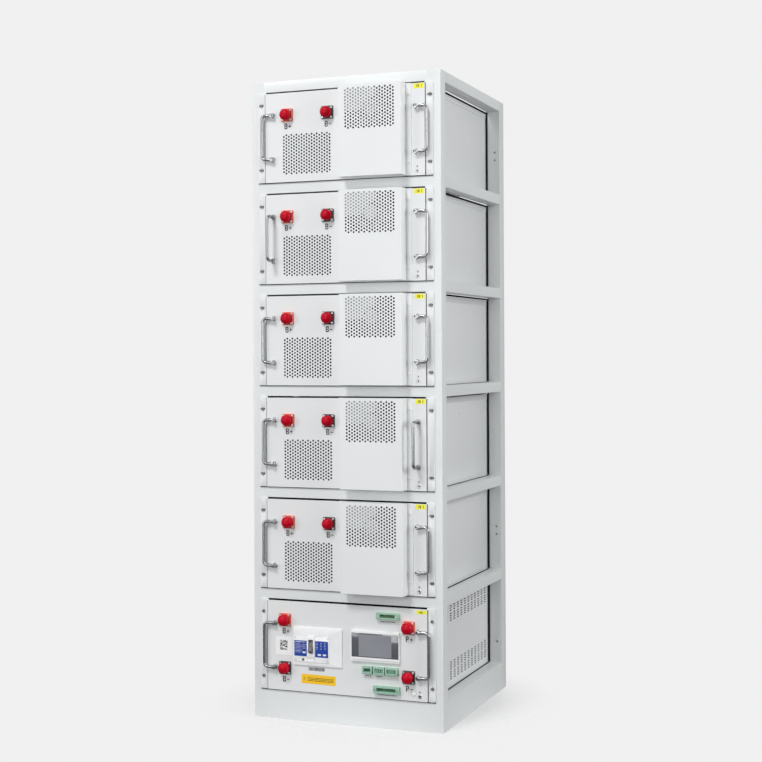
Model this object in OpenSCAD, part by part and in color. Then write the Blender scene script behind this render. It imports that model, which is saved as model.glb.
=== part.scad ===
// Rack battery pack: an open welded rack with battery modules on runners and one control module below them.
// +X is to the right seen from the front, +Y is towards the back, +Z is up.
// The origin is on the floor at the centre of the rack's footprint.

/* [Rack] */
// Number of battery modules above the control module
battery_count = 5; // [1:1:5]
// Height of the plinth
plinth_h = 75; // [40:5:150]
// Height of the rails between the bays
rail_h = 27; // [24:1:50]
// Width of a front post
front_post_w = 35; // [26:1:60]
// Depth of a front post
front_post_d = 36; // [28:1:60]
// Depth of a rear post
rear_post_d = 40; // [28:1:60]
// Depth of the cross rails
cross_rail_d = 25; // [16:1:28]
// Wall of the posts and rails
tube_wall = 2; // [1.5:0.5:3]
// Gap between a front panel and each front post
bay_side_gap = 5; // [3.5:0.5:8]
// Gap between a module's side and each rear post
rear_post_gap = 3; // [2:0.5:4]
// Free depth between a module's back and the rack's back
rear_clearance = 30.5; // [28:0.5:80]
// Diameter of the floor anchor holes
anchor_hole_d = 13; // [9:1:18]
// Side of a floor anchor plate
anchor_plate_w = 60; // [40:5:80]
// Diameter of the accessory holes in the rear posts
accessory_hole_d = 5; // [3:0.5:8]
// Spacing of a pair of accessory holes
accessory_pitch = 22; // [15:1:60]

/* [Runners] */
// Width of a runner's shelf
runner_w = 26; // [15:1:50]
// Thickness of a runner
runner_t = 2; // [1.5:0.5:3]
// Height of a runner's upright leg
runner_leg_h = 20; // [10:1:23]

/* [Module case] */
// Width of a front panel
panel_w = 440; // [430:1:540]
// Thickness of a front panel
panel_t = 2; // [1.5:0.5:3]
// Gap between a front panel's top edge and the rail above it
panel_top_gap = 4.5; // [2:0.5:8]
// Sheet thickness of a case tray
sheet_t = 1.5; // [1:0.25:2]
// Sheet thickness of a lid
lid_t = 1.2; // [1:0.1:2]
// Height of the lid's folded edge
lid_edge_h = 14; // [8:1:25]
// Gap between the lid and the rail above it
lid_clearance = 6.6; // [3:0.1:12]
// Depth of the free space between the front panel and the cells
service_space = 86.2; // [70:0.1:140]

/* [Rack ears] */
// Width of an ear outside the panel's edge
ear_w = 21.3; // [19:0.1:26]
// Thickness of an ear
ear_t = 2; // [1.5:0.5:3]
// Depth of an ear's leg along the case
ear_leg_d = 30; // [15:1:33]
// Corner radius of an ear
ear_corner_r = 6; // [2:1:9]
// Distance from the panel's edge to the ear screws
ear_screw_inset = 12.5; // [11:0.1:16]
// Vertical spacing of the ear screws
ear_screw_pitch = 168; // [100:1:180]
// Width of an ear slot
ear_slot_w = 6.4; // [5.6:0.1:8]
// Length of an ear slot
ear_slot_l = 13; // [8:0.5:14]

/* [Perforation] */
// Spacing of neighbouring holes
vent_pitch = 8.25; // [7:0.05:9]
// Hole diameter
vent_hole_d = 5; // [3:0.1:6]
// Number of columns of holes
vent_columns = 19; // [9:2:21]
// Number of holes in a long column
vent_rows = 13; // [7:1:14]
// Distance from the panel's left edge to the middle of the panel's perforation
vent_x = 117; // [95:1:130]
// Height of the middle of the panel's perforation above the bay floor
vent_z = 72; // [66:1:80]

/* [Fan cover] */
// Width of the cover
cover_w = 170; // [160:1:180]
// Depth of the cover
cover_depth = 35; // [32:1:60]
// Sheet thickness of the cover
cover_t = 1.5; // [1:0.25:2]
// Bend radius of the cover's upright edges
cover_bend_r = 3; // [2:0.5:6]
// Width of the cover's screwed edges
cover_flange_w = 15; // [10:1:20]
// Distance from the panel's right edge to the middle of the cover
cover_x = 136; // [130:1:150]
// Distance from the cover's top to the middle of its perforation
cover_vent_drop = 58.5; // [57:0.5:75]
// Side of the square fan
fan_w = 92; // [80:1:100]
// Thickness of the fan
fan_t = 25; // [20:1:28]
// Number of fan blades
fan_blades = 7; // [5:1:9]

/* [Handles] */
// Spacing of a handle's arms
handle_span = 114; // [80:1:150]
// Distance from the pivot to the middle of the grip
handle_reach = 28; // [22:1:45]
// Diameter of the handle rod
handle_rod_d = 8; // [6:0.5:10]
// Bend radius at the middle of the rod
handle_bend_r = 10; // [8:1:16]
// Distance from the panel's edge to a handle's pivot
handle_inset = 22; // [18:1:30]
// Distance from the panel's face to the pivot
handle_standoff = 8.5; // [8:0.5:14]
// Diameter of a handle post
handle_post_d = 11; // [10:0.5:14]
// Diameter of a pivot pin
handle_pin_d = 3; // [2:0.5:4]

/* [Power terminals] */
// Side of a receptacle's flange
flange_w = 33; // [31:0.5:40]
// Thickness of a receptacle's flange
flange_t = 4; // [2:0.5:8]
// Outer diameter of a receptacle's barrel
barrel_d = 24; // [18:0.5:25]
// Length of a receptacle's barrel in front of its flange
barrel_l = 12.5; // [8:0.5:20]
// Bore of a receptacle's barrel
barrel_bore_d = 19; // [15:0.5:20]
// Outer diameter of a protective cap
cap_d = 28; // [27.5:0.5:32]
// Gap between a cap and its barrel
cap_gap = 0.3; // [0.2:0.05:0.6]
// Radius of a cap's domed end
cap_dome_r = 17; // [16.5:0.5:40]
// Distance from the panel's left edge to the first battery terminal
terminal_x = 62; // [55:0.5:75]
// Spacing of the two battery terminals
terminal_pitch = 113.5; // [60:0.5:115]
// Distance from the rail above to the battery terminals
terminal_drop = 62.5; // [50:0.5:70]
// Distance from the panel's edge to the control module's terminals
control_terminal_inset = 50; // [46:0.5:60]
// Distance from the rail above to the upper control terminals
control_terminal_drop = 53; // [45:0.5:60]
// Height of the lower control terminals above the bay floor
control_terminal_z = 59; // [50:0.5:70]
// Distance from the panel's right edge to the earth point
earth_x = 20.5; // [15:0.5:30]
// Height of the earth point above the bay floor
earth_z = 12.5; // [8:0.5:20]
// Thread bore of the earth point
earth_bore_d = 4.2; // [3.3:0.1:5]

/* [Cells] */
// Width of a cell across the module
cell_w = 173.6; // [140:0.1:210]
// Thickness of a cell
cell_d = 53.4; // [30:0.1:72]
// Height of a cell
cell_h = 200; // [180:1:240]
// Gap between neighbouring cells
cell_gap = 0.6; // [0.3:0.1:2]
// Number of cells in each of the two rows
cells_per_row = 8; // [2:1:10]
// Thickness of the pad under the cells
cell_pad_t = 2; // [1:0.5:5]
// Free height above the cells
head_space = 24; // [15:1:40]

/* [Control module] */
// Width of the circuit breaker's frame plate
breaker_plate_w = 135.5; // [120:0.5:140]
// Height of the circuit breaker's frame plate
breaker_plate_h = 98; // [80:1:110]
// Distance from the panel's left edge to the middle of the frame plate
breaker_plate_x = 142.2; // [140:0.1:150]
// Height of the middle of the frame plate above the bay floor
breaker_plate_z = 118.5; // [105:0.5:125]
// Width of the circuit breaker
breaker_w = 98; // [80:1:110]
// Height of the circuit breaker's nose
breaker_nose_h = 68; // [60:1:80]
// Width of the toggle slot
toggle_slot_w = 14; // [10:0.5:18]
// Height of the toggle slot
toggle_slot_h = 35.5; // [30:0.5:40]
// Swing of the toggle to each side of the middle
toggle_swing = 16; // [8:1:20]
// Diameter of the trip button
trip_button_d = 4.8; // [3:0.1:6]
// Width of the display's bezel
display_w = 131.5; // [110:0.5:140]
// Height of the display's bezel
display_h = 77.5; // [65:0.5:85]
// Distance from the panel's right edge to the middle of the display
display_x = 138.7; // [130:0.1:150]
// Height of the middle of the display above the bay floor
display_z = 130; // [120:1:140]
// Depth of a signal connector in front of the panel
connector_depth = 10; // [8:0.5:14]
// Height of a ventilation slit
slit_h = 2.6; // [2:0.1:4]
// Length of a ventilation slit
slit_l = 15; // [8:1:20]

/* [Hidden] */
$fn = 48;

STEEL = "gainsboro";
CHROME = "silver";
RUNNING_GAP = 0.05;    // radial gap of a pin in its bore
WELD_GAP = 0.1;        // gap that keeps welded tubes as separate solids
FACE_GAP = 0.2;        // gap between two plates that lie on each other
HOLE_GAP = 0.3;        // radial gap of a screw in its hole

// Stack of sheets at the front, from the rack's face outwards
ear_back = FACE_GAP;
ear_front = ear_back + ear_t;
tray_front = ear_front;
panel_face = tray_front + FACE_GAP + panel_t;

// Heights in a bay, from the bay's floor
case_floor = 0.7;
case_h = sheet_t + cell_pad_t + cell_h + head_space + lid_t;
case_top = case_floor + case_h;
bay_h = case_top + lid_clearance;
bay_pitch = bay_h + rail_h;
panel_bottom = 0.5;
panel_h = bay_h - panel_top_gap - panel_bottom;
panel_mid = panel_bottom + panel_h / 2;
runner_top = case_floor - FACE_GAP;

// Depths and widths
cell_pitch = cell_d + cell_gap;
cells_back_gap = 2;
module_d = service_space + cells_per_row * cell_pitch + cells_back_gap + sheet_t;
rack_d = module_d - tray_front + rear_clearance;
front_y = -rack_d / 2;
back_y = rack_d / 2;
tray_y = front_y - tray_front;
opening_w = panel_w + 2 * bay_side_gap;
rack_w = opening_w + 2 * front_post_w;
rear_post_x = panel_w / 2 + rear_post_gap;
rear_post_w = rack_w / 2 - rear_post_x;
tray_w = panel_w - 2 * (lid_t + 0.1);
bay_count = battery_count + 1;
rack_h = plinth_h + bay_count * bay_pitch;
ear_screw_mid = panel_mid + 2;
screw_d = 5;

// Vertical places of the front's features above the bay floor
handle_z = panel_mid + 1;
handle_tongue_t = handle_rod_d * 0.6;
cover_bottom = panel_bottom + 2;
cover_h = panel_h - 1;
terminal_z = bay_h - terminal_drop;
cover_vent_z = cover_bottom + cover_h - cover_vent_drop;
upper_control_z = bay_h - control_terminal_drop;
cover_mid_x = panel_w / 2 - cover_x;

// Circuit breaker and display, in the panel's own plane
breaker_x = -panel_w / 2 + breaker_plate_x - 16.7;
nose_z = breaker_plate_z - 6.5;
nose_face = 5;
toggle_z = breaker_plate_z;
toggle_pivot = -18;
toggle_hub_r = 22;
toggle_x = breaker_x - 1.5;
trip_x = breaker_x - 23;
trip_z = nose_z - breaker_nose_h / 2 + 6.5;
trip_travel = 1.5;
display_mid_x = panel_w / 2 - display_x;

// Signal connectors: middle from the panel's right edge, height above the bay floor, width, height, socket width
CONNECTORS = [
    [104, bay_h - 26.5, 61, 16.5, 41],
    [159.5, 70.5, 27, 19, 19],
    [127.7, 70.5, 30, 19, 22],
    [94, 70.5, 32, 19, 24],
    [108, 23.5, 70, 18, 52],
];
CONNECTOR_SOCKET_H = 9;
CONTACT_L = 3.5;
CONTACT_PITCH = 5;

// Handles that stand out from the panel at rest: module number and side (-1 left, 1 right)
RAISED_HANDLES = [[2, -1], [4, 1]];

function bay_floor(bay) = plinth_h + bay * bay_pitch;
function battery_bay(n) = bay_count - n;
function handle_angle(n, side) = len([for (h = RAISED_HANDLES) if (h == [n, side]) h]) > 0 ? 90 : 0;

// ---------- Helpers ----------

// Box between two corners
module box(low, high) {
    translate(low) cube(high - low);
}

// The children and their mirror image to the left
module both_sides() {
    children();
    mirror([1, 0, 0]) children();
}

// Rectangle with true round corners, centred
module rounded_rect(w, h, r) {
    square([w - 2 * r, h], center = true);
    square([w, h - 2 * r], center = true);
    for (x = [-1, 1], y = [-1, 1])
        translate([x * (w / 2 - r), y * (h / 2 - r)]) circle(r);
}

// Slot with round ends along X, centred
module slot_2d(l, w) {
    square([l - w, w], center = true);
    for (x = [-1, 1]) translate([x * (l - w) / 2, 0]) circle(d = w);
}

// Places the children in a bay
module in_bay(bay) {
    translate([0, 0, bay_floor(bay)]) children();
}

// Places the children on a front panel's face, with their +Z pointing out of the front
module on_panel(x, z) {
    translate([x, front_y - panel_face, z]) rotate([90, 0, 0]) children();
}

// Pan-head screw along Z: its head stands above z = 0 and its shank goes down
module pan_screw(d, head_d, head_h, shank_l) {
    difference() {
        union() {
            cylinder(d = head_d, h = head_h);
            translate([0, 0, -shank_l]) cylinder(d = d, h = shank_l + 0.1);
        }
        translate([0, 0, head_h * 0.4]) cylinder(d = head_d * 0.5, h = head_h, $fn = 6);
    }
}

// Hexagonal field of holes, with its odd columns one hole shorter
module vent_holes() {
    for (column = [0 : vent_columns - 1]) {
        rows = vent_rows - 1 + column % 2;
        for (row = [0 : rows - 1])
            translate([
                (column - (vent_columns - 1) / 2) * vent_pitch * sqrt(3) / 2,
                (row - (rows - 1) / 2) * vent_pitch
            ]) circle(d = vent_hole_d, $fn = 24);
    }
}

// ---------- Rack ----------

// Post from the floor to the top, open at its foot, at the right-hand side
module post(x, y, w, d) {
    difference() {
        box([x, y, 0], [x + w, y + d, rack_h]);
        box([x + tube_wall, y + tube_wall, -1], [x + w - tube_wall, y + d - tube_wall, rack_h - tube_wall]);
    }
}

// Places the children at a bay's two ear screws on the right, in the plane y, with their +Z pointing out of the front
module at_ear_screws(y) {
    for (side = [-1, 1])
        translate([panel_w / 2 + ear_screw_inset, y, ear_screw_mid + side * ear_screw_pitch / 2])
            rotate([90, 0, 0]) children();
}

// Hole in an ear, and in the post behind it: a slot at a battery module, round at the control module
module ear_hole_2d(slotted) {
    if (slotted) slot_2d(ear_slot_l, ear_slot_w);
    else circle(d = ear_slot_w);
}

module front_post() {
    difference() {
        post(opening_w / 2, front_y, front_post_w, front_post_d);
        for (bay = [0 : bay_count - 1])
            in_bay(bay) at_ear_screws(front_y + tube_wall + 1)
                linear_extrude(tube_wall + 2) ear_hole_2d(bay > 0);
    }
}

// Nut behind the front post's wall, for one ear screw
module ear_nut() {
    translate([0, 0, -tube_wall - 3.4]) difference() {
        translate([-5, -6, 0]) cube([10, 12, 3.3]);
        translate([0, 0, -1]) cylinder(d = screw_d + 2 * RUNNING_GAP, h = 6);
    }
}

// Heights of the accessory holes above their bay's floor
function accessory_heights(bay) =
    bay == 0 ? [bay_h / 4] : [bay_h / 2 - 20, bay_h / 2 - 20 + accessory_pitch];

module rear_post() {
    difference() {
        post(rear_post_x, back_y - rear_post_d, rear_post_w, rear_post_d);
        for (bay = [0, 1, bay_count - 1])
            for (z = accessory_heights(bay))
                translate([rear_post_x + rear_post_w - 14, back_y - rear_post_d - 1, bay_floor(bay) + z])
                    rotate([-90, 0, 0]) cylinder(d = accessory_hole_d, h = tube_wall + 2);
    }
}

// Square tube from front to back between the posts, at the right-hand side
module side_rail(z, h) {
    y0 = front_y + front_post_d + WELD_GAP;
    y1 = back_y - rear_post_d - WELD_GAP;
    difference() {
        box([rear_post_x, y0, z], [rack_w / 2, y1, z + h]);
        box([rear_post_x + tube_wall, y0 - 1, z + tube_wall], [rack_w / 2 - tube_wall, y1 + 1, z + h - tube_wall]);
    }
}

// Square tube from left to right between two posts whose inner faces are at x
module cross_rail(inner_x, y, z, h) {
    x = inner_x - WELD_GAP;
    difference() {
        box([-x, y, z], [x, y + cross_rail_d, z + h]);
        box([-x - 1, y + tube_wall, z + tube_wall], [x + 1, y + cross_rail_d - tube_wall, z + h - tube_wall]);
    }
}

// Angle that a module slides on, welded to the front cross rail and by a pad to the rear post
module runner(bay) {
    z = bay_floor(bay) + runner_top;
    x1 = panel_w / 2;
    y0 = front_y + cross_rail_d + WELD_GAP;
    y1 = back_y - cross_rail_d - WELD_GAP;
    box([x1 - runner_w, y0, z - runner_t], [x1, y1, z]);
    box([x1 - runner_t, y0, z - runner_leg_h], [x1, y1, z - runner_t]);
    box([x1, y1 - 14, z - runner_leg_h], [rear_post_x - WELD_GAP, y1, z - 1]);
}

// Plate inside a corner of the plinth, with a hole for a floor anchor
module anchor_plate(y) {
    x1 = rear_post_x - WELD_GAP;
    difference() {
        box([x1 - anchor_plate_w, y, 0], [x1, y + anchor_plate_w, 4]);
        translate([rear_post_x - anchor_plate_w / 2, y + anchor_plate_w / 2, -1])
            cylinder(d = anchor_hole_d, h = 6);
    }
}

module rack_frame() {
    levels = [for (bay = [1 : bay_count]) bay_floor(bay) - rail_h];
    middle_level = levels[floor(bay_count / 2) - 1];
    color(STEEL) {
        both_sides() {
            front_post();
            rear_post();
            for (z = levels) side_rail(z, rail_h);
            side_rail(0, plinth_h);
            for (bay = [0 : bay_count - 1]) runner(bay);
            for (bay = [0 : bay_count - 1]) in_bay(bay) at_ear_screws(front_y) ear_nut();
            anchor_plate(front_y + cross_rail_d + WELD_GAP);
            anchor_plate(back_y - cross_rail_d - anchor_plate_w - WELD_GAP);
        }
        for (z = levels) cross_rail(opening_w / 2, front_y, z, rail_h);
        cross_rail(opening_w / 2, front_y, 0, plinth_h);
        cross_rail(rear_post_x, back_y - cross_rail_d, 0, plinth_h);
        for (z = [middle_level, rack_h - rail_h]) cross_rail(rear_post_x, back_y - cross_rail_d, z, rail_h);
    }
}

// ---------- Case ----------

// Blocks of ventilation slits in a case's right-hand wall
module side_slits() {
    first = front_post_d - 3;
    step = 30;
    count = floor((module_d - first - 30) / step);
    slit_rows = [29, 55, bay_h - 54, bay_h - 28];
    for (column = [0 : count], z = slit_rows, k = [0 : 3])
        translate([first + column * step, z + (k - 1.5) * 6]) square([slit_l, slit_h], center = true);
}

// Open-topped tray with narrow folded edges behind the front panel
module tray(slits) {
    half = tray_w / 2;
    top = case_top - lid_t - 0.1;
    fold = 10;
    difference() {
        union() {
            difference() {
                box([-half, tray_y, case_floor], [half, tray_y + module_d, top]);
                box([-half + sheet_t, tray_y - 1, case_floor + sheet_t],
                    [half - sheet_t, tray_y + module_d - sheet_t, top + 1]);
            }
            both_sides() box([half - fold, tray_y, case_floor + sheet_t], [half - sheet_t, tray_y + sheet_t, top]);
            box([-half + fold, tray_y, case_floor + sheet_t], [half - fold, tray_y + sheet_t, earth_z - 5]);
        }
        if (slits) both_sides()
            translate([half - sheet_t - 1, tray_y + tray_front, 0])
                rotate([90, 0, 90]) linear_extrude(sheet_t + 2) side_slits();
    }
}

// Lid with a folded edge along both sides and the back
module lid() {
    half = panel_w / 2;
    y1 = tray_y + module_d + 0.1 + lid_t;
    difference() {
        box([-half, front_y + 0.1, case_top - lid_edge_h], [half, y1, case_top]);
        box([-half + lid_t, tray_y - 1, case_top - lid_edge_h - 1], [half - lid_t, y1 - lid_t, case_top - lid_t]);
    }
}

// Right-hand ear: a front plate with two holes, and a leg along the case
module ear(slotted) {
    ear_h = bay_h - 1;
    leg_x = tray_w / 2 + 0.05;
    plate_w = panel_w / 2 + ear_w - leg_x;
    difference() {
        translate([leg_x + plate_w / 2, front_y - ear_back, ear_h / 2 + panel_bottom])
            rotate([90, 0, 0]) linear_extrude(ear_t) {
                rounded_rect(plate_w, ear_h, ear_corner_r);
                translate([-plate_w / 4, 0]) square([plate_w / 2, ear_h], center = true);
            }
        at_ear_screws(front_y) linear_extrude(ear_front + 1) ear_hole_2d(slotted);
    }
    box([leg_x, front_y - ear_back, 5], [leg_x + ear_t, front_y + ear_leg_d, case_top - lid_edge_h - 2]);
}

// Screws through the right-hand ear into the front post
module ear_screws() {
    at_ear_screws(front_y - ear_front - 0.05) pan_screw(screw_d, 8, 2.6, 12);
}

// Low-headed screws on the right-hand side wall
module side_screws() {
    for (y = [front_post_d + 20, module_d / 2, module_d - 70])
        translate([tray_w / 2 + 0.05, front_y + y, case_top - 46])
            rotate([0, 90, 0]) cylinder(d = 6, h = 0.9);
}

module case(is_control) {
    color(STEEL) {
        tray(is_control);
        lid();
        both_sides() ear(!is_control);
    }
    color(CHROME) both_sides() {
        ear_screws();
        side_screws();
    }
}

// ---------- Power terminals ----------

// Receptacle on a panel: flange, barrel and rear body, with its contact and four screws
module receptacle(x, z, flange_colour) {
    screw_at = flange_w / 2 - 4.2;
    on_panel(x, z) {
        color(flange_colour) difference() {
            union() {
                translate([0, 0, 0.05]) linear_extrude(flange_t) rounded_rect(flange_w, flange_w, 3);
                cylinder(d = barrel_d, h = flange_t + barrel_l);
                translate([0, 0, -24]) cylinder(d = barrel_d - 2, h = 25);
            }
            translate([0, 0, -16]) cylinder(d = barrel_bore_d, h = 100);
            translate([0, 0, -25]) cylinder(d = 8, h = 20);
            for (u = [-1, 1], v = [-1, 1]) translate([u * screw_at, v * screw_at, -1])
                cylinder(d = 4, h = flange_t + 2);
        }
        color("goldenrod") translate([0, 0, -30]) difference() {
            cylinder(d = 8 - 2 * RUNNING_GAP, h = 38);
            translate([0, 0, 20]) cylinder(d = 6, h = 20);
        }
        color(CHROME) for (u = [-1, 1], v = [-1, 1])
            translate([u * screw_at, v * screw_at, flange_t + 0.1]) pan_screw(3.4, 6, 2, flange_t + panel_t + 2);
    }
}

// Holes in a panel for one receptacle, in the panel's plane
module receptacle_holes_2d() {
    circle(d = barrel_d + 1);
    screw_at = flange_w / 2 - 4.2;
    for (u = [-1, 1], v = [-1, 1]) translate([u * screw_at, v * screw_at]) circle(d = 4);
}

// Push-on cap with a domed end, over a receptacle's barrel
module cap(x, z) {
    bore_r = barrel_d / 2 + cap_gap;
    bore_l = barrel_l + cap_gap;
    cap_l = bore_l + 7.7;
    on_panel(x, z) translate([0, 0, flange_t + cap_gap]) color("crimson") difference() {
        intersection() {
            cylinder(d = cap_d, h = cap_l);
            union() {
                cylinder(d = cap_d + 1, h = bore_l * 0.8);
                translate([0, 0, cap_l - cap_dome_r]) sphere(r = cap_dome_r);
            }
        }
        translate([0, 0, -1]) cylinder(r = bore_r, h = bore_l + 1);
    }
}

// ---------- Handles ----------

// Fixed posts of the right-hand handle, with the pins that it turns on
module handle_posts() {
    slot_r = handle_rod_d / 2 + HOLE_GAP;
    slot_w = handle_tongue_t + 2 * FACE_GAP;
    post_h = handle_standoff + 4;
    for (end = [-1, 1]) on_panel(panel_w / 2 - handle_inset, handle_z + end * handle_span / 2) {
        difference() {
            union() {
                translate([0, 0, 0.05]) cylinder(d = handle_post_d, h = post_h);
                translate([0, 0, 0.05]) cylinder(d = handle_post_d + 3, h = 1.5);
                translate([0, 0, -panel_t - 4]) cylinder(d = 6, h = panel_t + 5);
            }
            translate([-slot_r, -slot_w / 2, handle_standoff - slot_r])
                cube([handle_post_d + slot_r, slot_w, post_h]);
            translate([0, 0, handle_standoff]) rotate([90, 0, 0])
                cylinder(d = handle_pin_d + 0.04, h = 2 * handle_post_d, center = true);
        }
        translate([0, 0, handle_standoff]) rotate([90, 0, 0])
            cylinder(d = handle_pin_d, h = handle_post_d * 0.86, center = true);
    }
}

// Right-hand handle, folded flat, with its pivot on the Z axis
module handle_rod() {
    straight = handle_span / 2 - handle_bend_r;
    shoulder = handle_post_d / 2 + 0.8;
    translate([handle_reach, 0, -straight]) cylinder(d = handle_rod_d, h = 2 * straight);
    for (end = [0, 1]) mirror([0, 0, end]) {
        translate([handle_reach - handle_bend_r, 0, straight])
            rotate([90, 0, 0]) rotate_extrude(angle = 90)
                translate([handle_bend_r, 0]) circle(d = handle_rod_d);
        translate([0, 0, handle_span / 2]) {
            translate([shoulder, 0, 0]) rotate([0, 90, 0])
                cylinder(d = handle_rod_d, h = handle_reach - handle_bend_r - shoulder);
            difference() {
                union() {
                    cylinder(d = handle_rod_d, h = handle_tongue_t, center = true);
                    translate([0, -handle_rod_d / 2 + 0.5, -handle_tongue_t / 2])
                        cube([shoulder + 1, handle_rod_d - 1, handle_tongue_t]);
                }
                cylinder(d = handle_pin_d + 2 * RUNNING_GAP, h = 2 * handle_rod_d, center = true);
            }
        }
    }
}

module handle(side, angle) {
    color(CHROME) mirror([side < 0 ? 1 : 0, 0, 0])
        translate([panel_w / 2 - handle_inset, front_y - panel_face - handle_standoff, handle_z])
            rotate([0, 0, -angle]) handle_rod();
}

// ---------- Front panels ----------

// Rivet nut of the earth point, with a bare flange
module earth_point() {
    on_panel(panel_w / 2 - earth_x, earth_z) difference() {
        union() {
            translate([0, 0, 0.05]) cylinder(d = 10, h = 0.8);
            translate([0, 0, -10]) cylinder(d = 7, h = 10.5);
        }
        translate([0, 0, -11]) cylinder(d = earth_bore_d, h = 13);
    }
}

// Outline of a panel, with the holes that every panel has
module panel_blank_2d() {
    difference() {
        translate([-panel_w / 2, panel_bottom]) square([panel_w, panel_h]);
        translate([panel_w / 2 - earth_x, earth_z]) circle(d = 7.2);
        for (side = [-1, 1], end = [-1, 1])
            translate([side * (panel_w / 2 - handle_inset), handle_z + end * handle_span / 2])
                circle(d = 6.2);
    }
}

// Screws along both edges of the cover
module cover_screw_places() {
    for (side = [-1, 1], end = [-1, 1])
        translate([
            cover_mid_x + side * (cover_w + cover_flange_w) / 2,
            cover_bottom + cover_h / 2 + end * (cover_h / 2 - 29)
        ]) children();
}

module battery_front_panel() {
    first = -panel_w / 2 + terminal_x;
    color(STEEL) on_panel(0, 0) translate([0, 0, -panel_t]) linear_extrude(panel_t) difference() {
        panel_blank_2d();
        translate([-panel_w / 2 + vent_x, vent_z]) vent_holes();
        translate([cover_mid_x, cover_vent_z]) circle(d = fan_w - 6);
        for (x = [first, first + terminal_pitch]) translate([x, terminal_z]) receptacle_holes_2d();
        cover_screw_places() circle(d = 3.6);
    }
    receptacle(first, terminal_z, "orangered");
    receptacle(first + terminal_pitch, terminal_z, "black");
    color(CHROME) {
        both_sides() handle_posts();
        earth_point();
        on_panel(0, 0) translate([0, 0, cover_t + 0.15]) cover_screw_places() pan_screw(3, 5.5, 1.8, 8);
    }
}

// ---------- Fan cover ----------

// Section of the folded cover seen from above, with its open side on y = 0
module cover_section_2d() {
    difference() {
        rounded_rect(cover_w, 2 * cover_depth, cover_bend_r);
        rounded_rect(cover_w - 2 * cover_t, 2 * (cover_depth - cover_t), cover_bend_r - cover_t);
        translate([-cover_w, 0]) square([2 * cover_w, 2 * cover_depth]);
    }
    for (side = [0, 1]) mirror([side, 0])
        translate([cover_w / 2 - cover_t, -cover_t]) square([cover_flange_w + cover_t, cover_t]);
}

module cover_end_2d() {
    difference() {
        rounded_rect(cover_w, 2 * cover_depth, cover_bend_r);
        translate([-cover_w, 0]) square([2 * cover_w, 2 * cover_depth]);
    }
}

// Square fan housing with its bore, motor seat and struts; +Z points out of the front
module fan_housing() {
    bore_d = fan_w - 6;
    seat_t = 3;
    difference() {
        linear_extrude(fan_t) difference() {
            rounded_rect(fan_w, fan_w, 5);
            circle(d = bore_d);
            for (u = [-1, 1], v = [-1, 1]) translate([u * (fan_w / 2 - 5), v * (fan_w / 2 - 5)]) circle(d = 4.3);
        }
    }
    linear_extrude(seat_t) difference() {
        union() {
            circle(d = 36);
            for (a = [45 : 90 : 315]) rotate(a) translate([10, -3]) square([bore_d / 2 - 9, 6]);
        }
        circle(d = 3 + 2 * RUNNING_GAP);
    }
    translate([0, 0, seat_t]) difference() {
        cylinder(d = 10, h = fan_t - seat_t - 6);
        translate([0, 0, -1]) cylinder(d = 3 + 2 * RUNNING_GAP, h = fan_t);
    }
}

// Height of the fan's back above the panel's face
fan_back = cover_depth - cover_t - 1 - fan_t;

module fan_cover() {
    color(STEEL) translate([cover_mid_x, front_y - panel_face - 0.1, cover_bottom]) difference() {
        union() {
            linear_extrude(cover_h) cover_section_2d();
            for (z = [0, cover_h - cover_t]) translate([0, 0, z]) linear_extrude(cover_t) cover_end_2d();
        }
        translate([0, -cover_depth + cover_t + 1, cover_vent_z - cover_bottom])
            rotate([90, 0, 0]) linear_extrude(cover_t + 2) vent_holes();
        for (side = [-1, 1], end = [-1, 1])
            translate([side * (cover_w + cover_flange_w) / 2, 1, cover_h / 2 + end * (cover_h / 2 - 29)])
                rotate([90, 0, 0]) cylinder(d = 3.6, h = cover_t + 2);
    }
    color("dimgray") on_panel(cover_mid_x, cover_vent_z) translate([0, 0, fan_back]) fan_housing();
}

// Hub with a shaft and pitched blades; +Z points out of the front
module fan_rotor() {
    hub_d = 36;
    tip_d = fan_w - 10;
    blade_z = 14;
    on_panel(cover_mid_x, cover_vent_z) translate([0, 0, fan_back]) color("dimgray") {
        difference() {
            translate([0, 0, 4]) cylinder(d = hub_d, h = fan_t - 5);
            translate([0, 0, 3]) cylinder(d = hub_d - 4, h = fan_t - 7);
        }
        translate([0, 0, 0.5]) cylinder(d = 3, h = fan_t - 3);
        for (k = [0 : fan_blades - 1]) rotate(k * 360 / fan_blades) intersection() {
            translate([hub_d / 2 - 1.5, 0, blade_z]) rotate([38, 0, 0])
                translate([0, -14, -0.8]) cube([tip_d / 2, 28, 1.6]);
            translate([0, 0, 5]) difference() {
                cylinder(d = tip_d, h = fan_t - 7);
                translate([0, 0, -1]) cylinder(d = hub_d - 2, h = fan_t);
            }
        }
    }
}

// ---------- Cells ----------

// Middle of a cell: row 0 is the left one, and cells count from the front
function cell_at(row, k) = [
    (row - 0.5) * (cell_w + 2),
    tray_y + service_space + (k + 0.5) * cell_pitch,
    case_floor + sheet_t + cell_pad_t
];
cell_post_x = cell_w / 2 - 38;

module cell(row, k) {
    translate(cell_at(row, k)) {
        color("royalblue") translate([-cell_w / 2, -cell_d / 2, 0]) cube([cell_w, cell_d, cell_h]);
    }
}

// Bar that joins the posts of two neighbouring cells in a row
module busbar(row, k) {
    side = (k + row) % 2 == 0 ? 1 : -1;
    at = cell_at(row, k);
    translate([at.x + side * cell_post_x - 10, at.y - 9, at.z + cell_h + 0.2])
        cube([20, cell_pitch + 18, 2.5]);
}

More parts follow.
